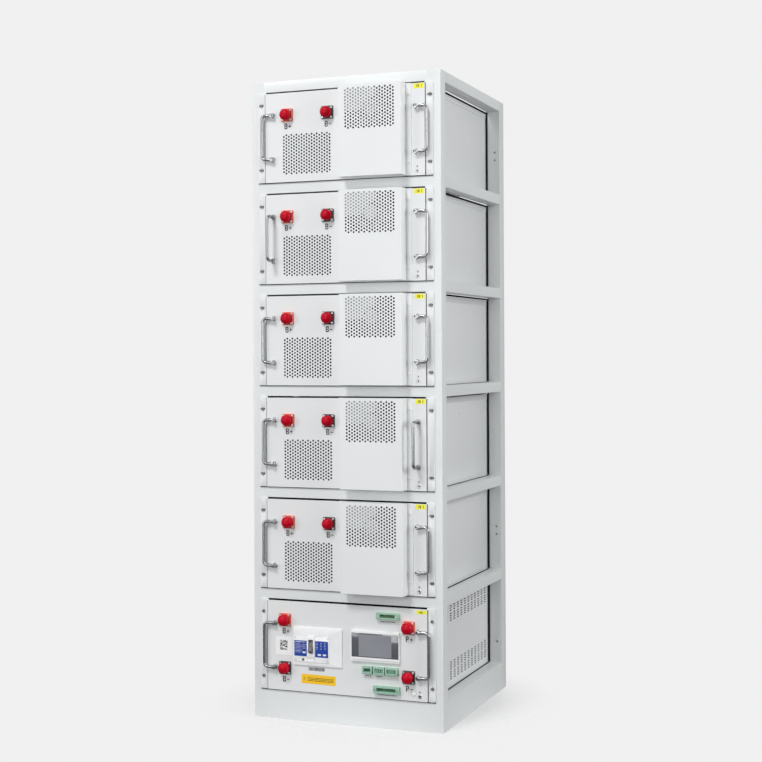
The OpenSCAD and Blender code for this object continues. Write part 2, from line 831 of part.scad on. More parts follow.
module cell_pack() {
    last = cells_per_row - 1;
    front = tray_y + service_space;
    top = case_floor + sheet_t + cell_pad_t + cell_h;
    color("royalblue") for (row = [0, 1], k = [0 : last]) cell(row, k);
    color("silver") {
        for (row = [0, 1], k = [0 : last - 1]) busbar(row, k);
        translate([-cell_post_x, cell_at(0, last).y - 9, top + 3.2]) cube([2 * cell_post_x, 18, 2.5]);
    }
    // Pad under the cells, clamp plate in front of them, and the management board on its plate
    color("gray") box([-cell_w - 1, front, case_floor + sheet_t + 0.1],
                      [cell_w + 1, front + cells_per_row * cell_pitch, top - cell_h - 0.1]);
    color("darkgray") box([-cell_w - 1, front - 4, case_floor + sheet_t + 0.1], [cell_w + 1, front - 1, top - 6]);
    color("darkgreen") box([-cell_w + 10, front - 16, 30], [-10, front - 14.4, 170]);
    color("black") for (x = [-140, -100, -60]) box([x, front - 22, 60], [x + 25, front - 16.2, 85]);
    // Fuse on the positive lead
    color("ivory") translate([cell_w - 60, front - 24, 60]) cylinder(d = 26, h = 80);
}

// ---------- Control module ----------

// Middle of a signal connector in the panel's plane
function connector_at(c) = [panel_w / 2 - c[0], c[1]];

module control_front_panel() {
    inset = panel_w / 2 - control_terminal_inset;
    color(STEEL) on_panel(0, 0) translate([0, 0, -panel_t]) linear_extrude(panel_t) difference() {
        panel_blank_2d();
        for (side = [-1, 1], z = [control_terminal_z, upper_control_z])
            translate([side * inset, z]) receptacle_holes_2d();
        translate([breaker_x, nose_z]) square([breaker_w + 1, breaker_nose_h + 1], center = true);
        translate([display_mid_x, display_z]) square([display_w - 8, display_h - 8], center = true);
        for (c = CONNECTORS) translate(connector_at(c)) square([c[2] - 8, c[3] - 5], center = true);
        translate([panel_w / 2 - 37, 19]) circle(d = 9);
    }
    for (side = [-1, 1]) {
        receptacle(side * inset, upper_control_z, "orangered");
        receptacle(side * inset, control_terminal_z, "black");
    }
    color(CHROME) {
        both_sides() handle_posts();
        earth_point();
    }
    // Plug in a spare hole
    color("white") on_panel(panel_w / 2 - 37, 19) {
        translate([0, 0, 0.05]) cylinder(d = 12, h = 1.2);
        translate([0, 0, -6]) cylinder(d = 8.6, h = 6.5);
    }
}

// Breaker behind the panel: its nose comes through the panel, inside a frame plate
module circuit_breaker() {
    body_h = 118;
    body_d = 58;
    color("whitesmoke") on_panel(breaker_x, 0) difference() {
        union() {
            translate([-breaker_w / 2, nose_z - body_h / 2, -body_d - panel_t - 1])
                cube([breaker_w, body_h, body_d]);
            translate([-breaker_w / 2, nose_z - breaker_nose_h / 2, -panel_t - 2])
                cube([breaker_w, breaker_nose_h, nose_face + panel_t + 2]);
            translate([toggle_x - breaker_x - 10.5, toggle_z - 28, 0]) cube([21, 55, nose_face + 2]);
        }
        translate([toggle_x - breaker_x, toggle_z, 0]) {
            translate([-toggle_slot_w / 2, -toggle_slot_h / 2, toggle_pivot])
                cube([toggle_slot_w, toggle_slot_h, 40]);
            translate([0, 0, toggle_pivot]) rotate([0, 90, 0]) {
                cylinder(r = toggle_hub_r + 0.5, h = toggle_slot_w, center = true);
                cylinder(r = 2 + RUNNING_GAP, h = toggle_slot_w + 10, center = true);
            }
        }
        translate([trip_x - breaker_x, trip_z, nose_face]) {
            translate([0, 0, -20]) cylinder(d = trip_button_d + 2 * RUNNING_GAP, h = 21);
            translate([0, 0, -16]) cylinder(d = trip_button_d + 3, h = 14);
        }
    }
    color("white") on_panel(-panel_w / 2 + breaker_plate_x, breaker_plate_z)
        translate([0, 0, 0.1]) linear_extrude(3.5) difference() {
            rounded_rect(breaker_plate_w, breaker_plate_h, 2);
            translate([breaker_x + panel_w / 2 - breaker_plate_x, nose_z - breaker_plate_z])
                square([breaker_w + 0.6, breaker_nose_h + 0.6], center = true);
        }
}

// Toggle, drawn at its lower stop
module breaker_toggle() {
    tip = 34;
    color("dimgray") on_panel(toggle_x, toggle_z) translate([0, 0, toggle_pivot])
        rotate([toggle_swing, 0, 0]) {
            rotate([0, 90, 0]) {
                cylinder(r = toggle_hub_r, h = toggle_slot_w - 1, center = true);
                cylinder(r = 2, h = toggle_slot_w + 9, center = true);
            }
            translate([-4.5, -3.5, 0]) cube([9, 7, tip - 3.5]);
            translate([0, 0, tip - 3.5]) rotate([0, 90, 0]) cylinder(d = 7, h = 9, center = true);
        }
}

// Sprung button, drawn fully out
module breaker_trip_button() {
    color("black") on_panel(trip_x, trip_z) translate([0, 0, nose_face]) {
        translate([0, 0, -17]) cylinder(d = trip_button_d, h = 17 + trip_travel + 0.3);
        translate([0, 0, -8]) cylinder(d = trip_button_d + 2.4, h = 5.95);
    }
}

module control_display() {
    bezel_t = 6;
    glass_w = display_w - 4;
    glass_h = display_h - 16.5;
    on_panel(display_mid_x, display_z) {
        color("white") difference() {
            union() {
                translate([0, 0, 0.1]) linear_extrude(bezel_t) rounded_rect(display_w, display_h, 3);
                translate([-display_w / 2 + 5, -display_h / 2 + 5, -24]) cube([display_w - 10, display_h - 10, 24.5]);
            }
            translate([-glass_w / 2, -glass_h / 2 + 2.5, bezel_t - 1.4]) cube([glass_w, glass_h, 2]);
        }
        color("darkslategray") translate([-glass_w / 2 + 0.1, -glass_h / 2 + 2.6, bezel_t - 1.3])
            cube([glass_w - 0.2, glass_h - 0.2, 1.1]);
    }
}

// Bodies of the signal connectors, each with a socket that is open to the front
module signal_connectors() {
    for (c = CONNECTORS) translate([0, 0, c[1]]) on_panel(panel_w / 2 - c[0], 0) connector(c);
}

module connector(c) {
    screw_x = c[2] / 2 - 5;
    screwed = c[2] - c[4] > 14;
    color("mediumseagreen") difference() {
        union() {
            translate([-c[2] / 2, -c[3] / 2, 0.1]) cube([c[2], c[3], connector_depth]);
            translate([-c[2] / 2 + 4.5, -c[3] / 2 + 3, -8]) cube([c[2] - 9, c[3] - 6, 9]);
        }
        translate([-c[4] / 2, -CONNECTOR_SOCKET_H / 2, 1.1]) cube([c[4], CONNECTOR_SOCKET_H, connector_depth]);
        if (screwed) for (side = [-1, 1]) translate([side * screw_x, 0, 2.5]) cylinder(d = 2.6, h = connector_depth);
    }
    if (screwed) color(CHROME) for (side = [-1, 1])
        translate([side * screw_x, 0, connector_depth + 0.15]) pan_screw(2.5, 4.6, 1.4, 6);
}

// Contacts inside one connector's socket
module connector_contacts(c) {
    count = floor(c[4] / CONTACT_PITCH);
    for (k = [0 : count - 1])
        translate([(k - (count - 1) / 2) * CONTACT_PITCH - 0.5, -0.5, 1.15]) cube([1, 1, CONTACT_L]);
}

module contactor(x, y) {
    color("dimgray") translate([x, y, case_floor + sheet_t + 2]) {
        translate([-30, -25, 0]) cube([60, 50, 45]);
        translate([0, 0, 45.1]) cylinder(d = 40, h = 25);
    }
}

module control_electronics() {
    inner_y = tray_y + 110;
    floor_z = case_floor + sheet_t + 2;
    for (x = [-150, -70, 10]) contactor(x, inner_y + 80);
    // Main board behind the display, standing on the floor
    color("darkgreen") box([20, tray_y + 40, 8], [200, tray_y + 41.6, 84]);
    // Power supply
    color("silver") box([70, inner_y, floor_z], [190, inner_y + 200, floor_z + 60]);
    // Main fuse and current shunt with their bars
    color("ivory") translate([-110, inner_y + 200, floor_z + 25]) rotate([0, 90, 0]) cylinder(d = 38, h = 90);
    color("chocolate") {
        box([-190, inner_y + 190, floor_z], [-125, inner_y + 210, floor_z + 5]);
        box([-5, inner_y + 190, floor_z], [60, inner_y + 210, floor_z + 5]);
        box([-60, inner_y + 260, floor_z], [60, inner_y + 290, floor_z + 8]);
    }
    color("silver") for (c = CONNECTORS) translate([0, 0, c[1]]) on_panel(panel_w / 2 - c[0], 0) connector_contacts(c);
}

// ---------- Nodes ----------

rack_frame();

for (n = [1 : battery_count]) {
    first = -panel_w / 2 + terminal_x;
    name = str("module_", n, "_");
    in_bay(battery_bay(n)) case(false);
    in_bay(battery_bay(n)) battery_front_panel();
    in_bay(battery_bay(n)) fan_cover();
    in_bay(battery_bay(n)) cell_pack();
    in_bay(battery_bay(n)) fan_rotor();
    in_bay(battery_bay(n)) handle(-1, handle_angle(n, -1));
    in_bay(battery_bay(n)) handle(1, handle_angle(n, 1));
    in_bay(battery_bay(n)) cap(first, terminal_z);
    in_bay(battery_bay(n)) cap(first + terminal_pitch, terminal_z);
}

in_bay(0) case(true);  // control_case
in_bay(0) control_front_panel();
in_bay(0) control_electronics();
in_bay(0) control_display();
in_bay(0) signal_connectors();
in_bay(0) circuit_breaker();
in_bay(0) breaker_toggle();
in_bay(0) breaker_trip_button();
in_bay(0) handle(-1, 0);  // control_handle_left
in_bay(0) handle(1, 0);  // control_handle_right
in_bay(0) cap(-panel_w / 2 + control_terminal_inset, upper_control_z);  // control_cap_b_positive
in_bay(0) cap(-panel_w / 2 + control_terminal_inset, control_terminal_z);  // control_cap_b_negative
in_bay(0) cap(panel_w / 2 - control_terminal_inset, upper_control_z);  // control_cap_p_positive
in_bay(0) cap(panel_w / 2 - control_terminal_inset, control_terminal_z);  // control_cap_p_negative
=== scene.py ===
import math
import random

import bmesh
import bpy
from mathutils import Matrix, Vector


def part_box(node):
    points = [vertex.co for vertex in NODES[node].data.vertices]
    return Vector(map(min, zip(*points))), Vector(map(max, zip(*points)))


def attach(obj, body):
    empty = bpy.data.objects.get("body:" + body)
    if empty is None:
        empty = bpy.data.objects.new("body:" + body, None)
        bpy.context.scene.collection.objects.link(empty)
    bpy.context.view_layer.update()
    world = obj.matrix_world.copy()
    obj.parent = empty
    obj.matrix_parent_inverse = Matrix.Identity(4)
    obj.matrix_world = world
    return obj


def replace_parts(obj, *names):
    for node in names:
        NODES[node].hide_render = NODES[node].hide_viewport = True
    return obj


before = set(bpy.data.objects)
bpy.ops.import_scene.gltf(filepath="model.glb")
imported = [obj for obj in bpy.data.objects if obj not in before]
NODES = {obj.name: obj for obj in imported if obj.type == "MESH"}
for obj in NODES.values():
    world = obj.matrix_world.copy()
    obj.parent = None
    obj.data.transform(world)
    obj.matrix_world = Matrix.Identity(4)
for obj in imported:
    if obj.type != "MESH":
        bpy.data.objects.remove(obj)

random.seed(7)
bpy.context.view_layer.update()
scene = bpy.context.scene
MM = 0.001

# ---------------------------------------------------------------------------
# Camera, floor, light
# ---------------------------------------------------------------------------

YAW = math.radians(21.23)
ROLL = math.radians(-0.28)
forward = Vector((-math.sin(YAW), math.cos(YAW), 0))
right = Vector((math.cos(YAW), math.sin(YAW), 0))
up = Vector((0, 0, 1))
camera_right = right * math.cos(ROLL) + up * math.sin(ROLL)
camera_up = up * math.cos(ROLL) - right * math.sin(ROLL)

camera_data = bpy.data.cameras.new("camera")
camera = bpy.data.objects.new("camera", camera_data)
scene.collection.objects.link(camera)
camera_data.sensor_width = 36
camera_data.lens = 68.8
camera_data.shift_y = -0.0362
camera_data.clip_end = 60
camera.matrix_world = Matrix.Translation((1.430, -3.704, 0.946)) @ Matrix(
    (camera_right, camera_up, -forward)
).transposed().to_4x4()
scene.camera = camera

scene.view_settings.view_transform = "Standard"
scene.view_settings.look = "None"
scene.view_settings.exposure = 0.0
scene.view_settings.gamma = 1.0

BACKGROUND = 0.877


def studio_world():
    """An even pale background, and a dimmer room with a brighter ceiling for what isn't seen directly."""
    world = bpy.data.worlds.new("studio")
    scene.world = world
    world.use_nodes = True
    tree = world.node_tree
    room = tree.nodes["Background"]
    seen = tree.nodes.new("ShaderNodeBackground")
    seen.inputs["Color"].default_value = (BACKGROUND, BACKGROUND, BACKGROUND, 1)
    where = tree.nodes.new("ShaderNodeTexCoord")
    split = tree.nodes.new("ShaderNodeSeparateXYZ")
    height = tree.nodes.new("ShaderNodeMapRange")
    for name, number in (("From Min", -0.15), ("From Max", 0.75), ("To Min", 0.13), ("To Max", 0.42)):
        height.inputs[name].default_value = number
    path = tree.nodes.new("ShaderNodeLightPath")
    mix = tree.nodes.new("ShaderNodeMixShader")
    room.inputs["Color"].default_value = (0.97, 0.985, 1.0, 1)
    tree.links.new(where.outputs["Generated"], split.inputs[0])
    tree.links.new(split.outputs["Z"], height.inputs["Value"])
    tree.links.new(height.outputs["Result"], room.inputs["Strength"])
    tree.links.new(path.outputs["Is Camera Ray"], mix.inputs[0])
    tree.links.new(room.outputs[0], mix.inputs[1])
    tree.links.new(seen.outputs[0], mix.inputs[2])
    tree.links.new(mix.outputs[0], tree.nodes["World Output"].inputs["Surface"])


studio_world()


def area_light(name, at, towards, size, power):
    data = bpy.data.lights.new(name, "AREA")
    data.shape = "RECTANGLE"
    data.size, data.size_y = size
    data.energy = power
    light = bpy.data.objects.new(name, data)
    scene.collection.objects.link(light)
    light.location = at
    light.rotation_euler = (Vector(towards) - Vector(at)).to_track_quat("-Z", "Y").to_euler()


area_light("key", (-0.9, -4.0, 5.3), (0, -0.3, 0.8), (1.5, 1.1), 170)
area_light("left", (-3.4, -3.6, 1.6), (0, -0.25, 0.8), (1.6, 2.6), 46)
area_light("front", (-0.5, -5.4, 1.1), (0, -0.25, 0.7), (1.4, 2.4), 59)
area_light("right", (4.1, -0.8, 1.8), (0.2, 0.1, 0.7), (2.2, 2.6), 106)
area_light("back", (-1.5, 4.6, 2.4), (0, 0.2, 0.8), (2.4, 2.4), 70)


# ---------------------------------------------------------------------------
# Materials
# ---------------------------------------------------------------------------

class Nodes:
    """A small helper round one material's node tree."""

    def __init__(self, name):
        self.material = bpy.data.materials.new(name)
        self.material.use_nodes = True
        self.tree = self.material.node_tree
        self.shader = self.tree.nodes["Principled BSDF"]
        self.coordinates = self.tree.nodes.new("ShaderNodeTexCoord")
        self.info = self.tree.nodes.new("ShaderNodeObjectInfo")
        shift = self.add("ShaderNodeVectorMath", operation="SCALE")
        shift.inputs[0].default_value = (7.3, 3.1, 5.7)
        self.link(self.info.outputs["Random"], shift.inputs["Scale"])
        place = self.add("ShaderNodeVectorMath", operation="ADD")
        self.link(self.coordinates.outputs["Object"], place.inputs[0])
        self.link(shift.outputs[0], place.inputs[1])
        self.place = place.outputs[0]

    def add(self, kind, **settings):
        node = self.tree.nodes.new(kind)
        for key, value in settings.items():
            setattr(node, key, value)
        return node

    def link(self, a, b):
        self.tree.links.new(a, b)

    def noise(self, scale, detail=3, stretch=(1, 1, 1), roughness=0.55):
        mapping = self.add("ShaderNodeMapping")
        mapping.inputs["Scale"].default_value = stretch
        self.link(self.place, mapping.inputs["Vector"])
        noise = self.add("ShaderNodeTexNoise")
        noise.inputs["Scale"].default_value = scale
        noise.inputs["Detail"].default_value = detail
        noise.inputs["Roughness"].default_value = roughness
        self.link(mapping.outputs[0], noise.inputs["Vector"])
        return noise.outputs["Fac"]

    def ramp(self, value, low, high, to_low, to_high):
        node = self.add("ShaderNodeMapRange")
        for name, number in (("From Min", low), ("From Max", high), ("To Min", to_low), ("To Max", to_high)):
            node.inputs[name].default_value = number
        self.link(value, node.inputs["Value"])
        return node.outputs["Result"]

    def mix(self, factor, a, b):
        node = self.add("ShaderNodeMix", data_type="RGBA")
        self.link(factor, node.inputs["Factor"])
        for socket, colour in ((node.inputs[6], a), (node.inputs[7], b)):
            if isinstance(colour, tuple):
                socket.default_value = (*colour, 1)
            else:
                self.link(colour, socket)
        return node.outputs[2]

    def bump(self, *layers):
        """layers are (height socket, depth in metres)"""
        normal = None
        for height, depth in layers:
            node = self.add("ShaderNodeBump")
            node.inputs["Strength"].default_value = 1.0
            node.inputs["Distance"].default_value = depth
            self.link(height, node.inputs["Height"])
            if normal is not None:
                self.link(normal, node.inputs["Normal"])
            normal = node.outputs[0]
        self.link(normal, self.shader.inputs["Normal"])


def tinted(colour, amount):
    return tuple(max(0.0, min(1.0, c * amount)) for c in colour)


def powder_coat(name, colour, rough=0.42, peel=0.00003):
    """Powder coat: orange peel, a finer grain, faint cloudiness and a little dust."""
    n = Nodes(name)
    cloud = n.ramp(n.noise(2.6, 4), 0.3, 0.7, 0, 1)
    speck = n.ramp(n.noise(420, 2), 0.62, 0.78, 0, 1)
    base = n.mix(cloud, tinted(colour, 0.975), tinted(colour, 1.02))
    base = n.mix(speck, base, tinted(colour, 0.93))
    n.link(base, n.shader.inputs["Base Color"])
    n.link(n.ramp(n.noise(38, 4), 0.25, 0.75, rough - 0.05, rough + 0.07), n.shader.inputs["Roughness"])
    n.bump((n.noise(620, 2), peel), (n.noise(2300, 1), peel * 0.35))
    n.shader.inputs["Specular IOR Level"].default_value = 0.45
    return n.material


def metal(name, colour, rough=0.2, stretch=(1, 1, 1), scratch=0.000012, wear=0.08):
    """Bare or plated metal with fine scratches and handling marks."""
    n = Nodes(name)
    stain = n.ramp(n.noise(60, 4), 0.35, 0.7, 0, 1)
    n.link(n.mix(stain, colour, tinted(colour, 0.93)), n.shader.inputs["Base Color"])
    n.shader.inputs["Metallic"].default_value = 1.0
    n.link(n.ramp(n.noise(210, 5, stretch), 0.3, 0.75, rough, rough + wear), n.shader.inputs["Roughness"])
    n.bump((n.noise(1500, 3, stretch), scratch))
    return n.material


def plastic(
    name, colour, rough=0.4, grain=0.00002, grain_scale=1400, coat=0.0, spread=0.05, specular=0.5
):
    """Moulded plastic: fine spark texture, slight colour drift, handling marks."""
    n = Nodes(name)
    drift = n.ramp(n.noise(24, 3), 0.3, 0.7, 0, 1)
    base = n.mix(drift, tinted(colour, 1 - spread), tinted(colour, 1 + spread))
    n.link(base, n.shader.inputs["Base Color"])
    n.link(n.ramp(n.noise(130, 4), 0.3, 0.75, rough - 0.04, rough + 0.08), n.shader.inputs["Roughness"])
    n.bump((n.noise(grain_scale, 2), grain))
    n.shader.inputs["Coat Weight"].default_value = coat
    n.shader.inputs["Coat Roughness"].default_value = 0.12
    n.shader.inputs["Specular IOR Level"].default_value = specular
    return n.material


def print_ink(name, colour, rough=0.5):
    """Screen-printed ink or a printed film, with slightly uneven cover."""
    n = Nodes(name)
    patch = n.ramp(n.noise(900, 3), 0.35, 0.7, 0, 1)
    n.link(n.mix(patch, tinted(colour, 0.94), tinted(colour, 1.05)), n.shader.inputs["Base Color"])
    n.link(n.ramp(n.noise(300, 2), 0.3, 0.7, rough - 0.05, rough + 0.05), n.shader.inputs["Roughness"])
    n.bump((n.noise(1800, 1), 0.000006))
    return n.material


M = {
    "rack": powder_coat("rack_powder_coat", (0.765, 0.785, 0.785), 0.40),
    "panel": powder_coat("panel_powder_coat", (0.79, 0.805, 0.81), 0.38, 0.00002),
    "case": powder_coat("case_powder_coat", (0.76, 0.775, 0.78), 0.36, 0.000018),
    "ear": powder_coat("ear_powder_coat", (0.78, 0.795, 0.80), 0.38, 0.00002),
    "cover": powder_coat("cover_powder_coat", (0.81, 0.825, 0.83), 0.40, 0.00002),
    "chrome": metal("handle_chrome_plate", (0.40, 0.41, 0.415), 0.27, (1, 1, 1), 0.0000001, 0.03),
    "screw": metal("zinc_screw", (0.62, 0.63, 0.64), 0.26, (1, 1, 1), 0.00001, 0.15),
    "nickel": metal("nickel_plate", (0.70, 0.68, 0.63), 0.22, (1, 1, 1), 0.000008, 0.12),
    "copper": metal("copper_bar", (0.80, 0.43, 0.28), 0.25, (1, 12, 1), 0.00001, 0.12),
    # Dark grey screws for the ears
    "dark_screw": metal("dark_grey_screw", (0.26, 0.26, 0.265), 0.42, (1, 1, 1), 0.00001, 0.15),
    "hole": plastic("hole_wall_shadow_grey", (0.012, 0.012, 0.013), 0.8, specular=0.15),
    "gold": metal("gold_contact", (0.85, 0.62, 0.28), 0.2),
    "aluminium": metal("cast_aluminium", (0.72, 0.73, 0.74), 0.35, (1, 1, 1), 0.00002, 0.15),
    "cap": plastic("cap_crimson", (0.50, 0.001, 0.016), 0.34, 0.000006, 900, 0.0, 0.05, 0.14),
    "flange_red": plastic("flange_orange_red", (0.78, 0.085, 0.03), 0.34),
    "flange_black": plastic("flange_black", (0.018, 0.018, 0.02), 0.38),
    "black": plastic("black_plastic", (0.02, 0.02, 0.022), 0.42),
    "dark": plastic("dark_grey_plastic", (0.05, 0.052, 0.055), 0.48),
    "fan_frame": plastic("fan_frame_plastic", (0.03, 0.03, 0.031), 0.45),
    "fan_blade": plastic("fan_blade_plastic", (0.02, 0.02, 0.021), 0.4),
    "white": plastic("white_plastic", (0.90, 0.905, 0.91), 0.36, 0.000012),
    "pale": plastic("pale_grey_plastic", (0.60, 0.61, 0.62), 0.4, 0.000014),
    "toggle": plastic("toggle_plastic", (0.17, 0.175, 0.185), 0.36),
    "green": plastic("connector_green", (0.32, 0.54, 0.41), 0.42),
    # Dark green for the connectors' socket floors: painted shade in the recesses
    "green_socket_shade": plastic("connector_socket_shade_green", (0.03, 0.16, 0.085), 0.5),
    "cell_film": plastic("cell_blue_film", (0.03, 0.10, 0.36), 0.30, 0.00001, 300, 0.2),
    "board": plastic("circuit_board", (0.012, 0.10, 0.045), 0.35, 0.00001, 2500, 0.15),
    "pad": plastic("grey_pad", (0.16, 0.16, 0.165), 0.75),
    "ceramic": plastic("fuse_ceramic", (0.72, 0.69, 0.60), 0.4),
    "ink": print_ink("black_ink", (0.008, 0.008, 0.009)),
    "grey_ink": print_ink("grey_ink", (0.22, 0.22, 0.23)),
    "white_ink": print_ink("white_ink", (0.82, 0.84, 0.86)),
    "yellow": print_ink("yellow_label", (0.92, 0.88, 0.04), 0.42),
    "amber": print_ink("amber_label", (1.0, 0.58, 0.012), 0.42),
    "blue": print_ink("blue_label", (0.012, 0.055, 0.36), 0.36),
    "sticker": print_ink("white_label", (0.93, 0.93, 0.93), 0.42),
    # Near-black for blocks and sheets that fill gaps, slots and holes so they read dark: painted shade
    "gap_shade": plastic("gap_shade_black", (0.006, 0.006, 0.007), 0.9, 0.00012, 900, specular=0.12),
    # Mid-grey for the sheet behind the cover's upper-left holes: painted light
    "vent_lit_grey": powder_coat("vent_lit_grey_coat", (0.42, 0.43, 0.44), 0.45),
}


def display_material(name, smears, dark, light, rough, bump, coat, coat_rough):
    """Smooth display front with smears under a clear coat.

    smears is (scale, detail, low, high), rough is (least, most) and bump is (scale, detail, depth in metres).
    """
    n = Nodes(name)
    scale, detail, low, high = smears
    smear = n.ramp(n.noise(scale, detail), low, high, 0, 1)
    n.link(n.mix(smear, dark, light), n.shader.inputs["Base Color"])
    n.link(n.ramp(n.noise(45, 5), 0.3, 0.75, *rough), n.shader.inputs["Roughness"])
    scale, detail, depth = bump
    n.bump((n.noise(scale, detail), depth))
    n.shader.inputs["Coat Weight"].default_value = coat
    n.shader.inputs["Coat Roughness"].default_value = coat_rough
    return n.material


M["glass"] = display_material(
    "display_glass", (14, 4, 0.35, 0.7), (0.105, 0.11, 0.125), (0.125, 0.13, 0.145),
    (0.10, 0.20), (60, 2, 0.000004), 0.6, 0.05,
)
M["screen"] = display_material(
    "display_screen", (10, 3, 0.3, 0.7), (0.26, 0.27, 0.30), (0.30, 0.31, 0.34),
    (0.14, 0.22), (2600, 1, 0.000003), 0.5, 0.06,
)


def floor_material():
    """Pale floor that fades into the background away from the object."""
    n = Nodes("studio_floor")
    cloud = n.ramp(n.noise(1.2, 3), 0.3, 0.7, 0, 1)
    n.link(n.mix(cloud, (0.80, 0.802, 0.805), (0.81, 0.812, 0.815)), n.shader.inputs["Base Color"])
    n.shader.inputs["Roughness"].default_value = 0.9
    n.shader.inputs["Specular IOR Level"].default_value = 0.05
    n.bump((n.noise(60, 3), 0.0002))
    distance = n.add("ShaderNodeVectorMath", operation="LENGTH")
    n.link(n.coordinates.outputs["Object"], distance.inputs[0])
    fade = n.add("ShaderNodeMapRange", interpolation_type="SMOOTHSTEP")
    for name, number in (("From Min", 0.10), ("From Max", 0.52), ("To Min", 0.0), ("To Max", 1.0)):
        fade.inputs[name].default_value = number
    n.link(distance.outputs["Value"], fade.inputs["Value"])
    clear = n.add("ShaderNodeBsdfTransparent")
    mix = n.add("ShaderNodeMixShader")
    n.link(fade.outputs["Result"], mix.inputs[0])
    n.link(n.shader.outputs[0], mix.inputs[1])
    n.link(clear.outputs[0], mix.inputs[2])
    n.link(mix.outputs[0], n.tree.nodes["Material Output"].inputs["Surface"])
    return n.material


FLOOR_REACH = 30
floor_mesh = bpy.data.meshes.new("floor")
floor_corners = [(FLOOR_REACH * u, FLOOR_REACH * v, 0) for u, v in ((-1, -1), (1, -1), (1, 1), (-1, 1))]
floor_mesh.from_pydata(floor_corners, [], [(0, 1, 2, 3)])
floor_mesh.materials.append(floor_material())
floor_object = bpy.data.objects.new("floor", floor_mesh)
floor_object.location.z = -0.0005
scene.collection.objects.link(floor_object)


# ---------------------------------------------------------------------------
# Mesh helpers
# ---------------------------------------------------------------------------

def solids_of(node):
    """The node's separate solids, each as its own BMesh."""
    whole = bmesh.new()
    whole.from_mesh(NODES[node].data)
    bmesh.ops.remove_doubles(whole, verts=whole.verts, dist=2e-6)
    whole.verts.ensure_lookup_table()
    seen = set()
    found = []
    for start in whole.verts:
        if start.index in seen:
            continue
        stack, members = [start], []
        seen.add(start.index)
        while stack:
            v = stack.pop()
            members.append(v)
            for e in v.link_edges:
                o = e.other_vert(v)
                if o.index not in seen:
                    seen.add(o.index)
                    stack.append(o)
        part = bmesh.new()
        made = {v.index: part.verts.new(v.co) for v in members}
        faces = {f for v in members for f in v.link_faces}
        for f in sorted(faces, key=lambda f: f.index):
            try:
                part.faces.new([made[v.index] for v in f.verts])
            except ValueError:
                pass
        part.normal_update()
        found.append(part)
    whole.free()
    return found


def extent(bm):
    lows = Vector(min(v.co[i] for v in bm.verts) for i in range(3))
    highs = Vector(max(v.co[i] for v in bm.verts) for i in range(3))
    return lows, highs


def merge_flat(bm):
    """Makes one face of each flat region that has no hole in it. Regions with holes keep their triangles."""
    limit = math.cos(math.radians(0.6))
    seen, regions = set(), []
    bm.faces.index_update()
    for start in list(bm.faces):
        if start.index in seen:
            continue
        seen.add(start.index)
        region, stack = [], [start]
        while stack:
            f = stack.pop()
            region.append(f)
            for e in f.edges:
                for o in e.link_faces:
                    if o.index not in seen and o.normal.dot(start.normal) > limit:
                        seen.add(o.index)
                        stack.append(o)
        edges = {e for f in region for e in f.edges}
        verts = {v for f in region for v in f.verts}
        if len(region) > 1 and len(verts) - len(edges) + len(region) == 1:
            regions.append(region)
    for region in regions:
        bmesh.ops.dissolve_faces(bm, faces=region, use_verts=False)
    spare = [v for v in bm.verts if len(v.link_edges) == 2 and v.calc_edge_angle(0) < 0.002]
    bmesh.ops.dissolve_verts(bm, verts=spare)
    bm.normal_update()


def bevel_sharp(bm, width, segments=2, angle=32, choose=None):
    """Rounds every sharp edge, or those that choose() picks."""
    edges = [
        e for e in bm.edges
        if len(e.link_faces) == 2 and e.calc_face_angle(0) > math.radians(angle)
        and (choose is None or choose(e))
    ]
    if edges:
        bmesh.ops.bevel(
            bm, geom=edges, offset=width, offset_type="OFFSET", segments=segments,
            profile=0.5, affect="EDGES", clamp_overlap=True, harden_normals=False,
        )


def mesh_from(bms, name, material, smooth=30):
    """One mesh from several BMeshes."""
    mesh = bpy.data.meshes.new(name)
    verts, faces = [], []
    for bm in bms:
        bm.verts.index_update()
        base = len(verts)
        verts += [tuple(v.co) for v in bm.verts]
        faces += [[base + v.index for v in f.verts] for f in bm.faces]
        bm.free()
    mesh.from_pydata(verts, [], faces)
    mesh.materials.append(M[material])
    mesh.update()
    mesh.shade_smooth()
    mesh.set_sharp_from_angle(angle=math.radians(smooth))
    return mesh


def put(mesh, name, body, shift=(0, 0, 0)):
    """Places a mesh as a named piece that rides on a body."""
    made = bpy.data.objects.new(name, mesh)
    scene.collection.objects.link(made)
    made.matrix_world = Matrix.Translation(shift)
    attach(made, body)
    return made


def block(corner, other, bevel):
    """A box between two opposite corners, with rounded edges, all in mm."""
    bm = bmesh.new()
    bmesh.ops.create_cube(bm, size=1)
    lo = Vector(min(a, b) * MM for a, b in zip(corner, other))
    hi = Vector(max(a, b) * MM for a, b in zip(corner, other))
    for v in bm.verts:
        v.co = Vector(lo[i] if v.co[i] < 0 else hi[i] for i in range(3))
    bm.normal_update()
    bmesh.ops.bevel(
        bm, geom=list(bm.edges), offset=bevel * MM, segments=2, profile=0.5, affect="EDGES",
        clamp_overlap=True,
    )
    return bm


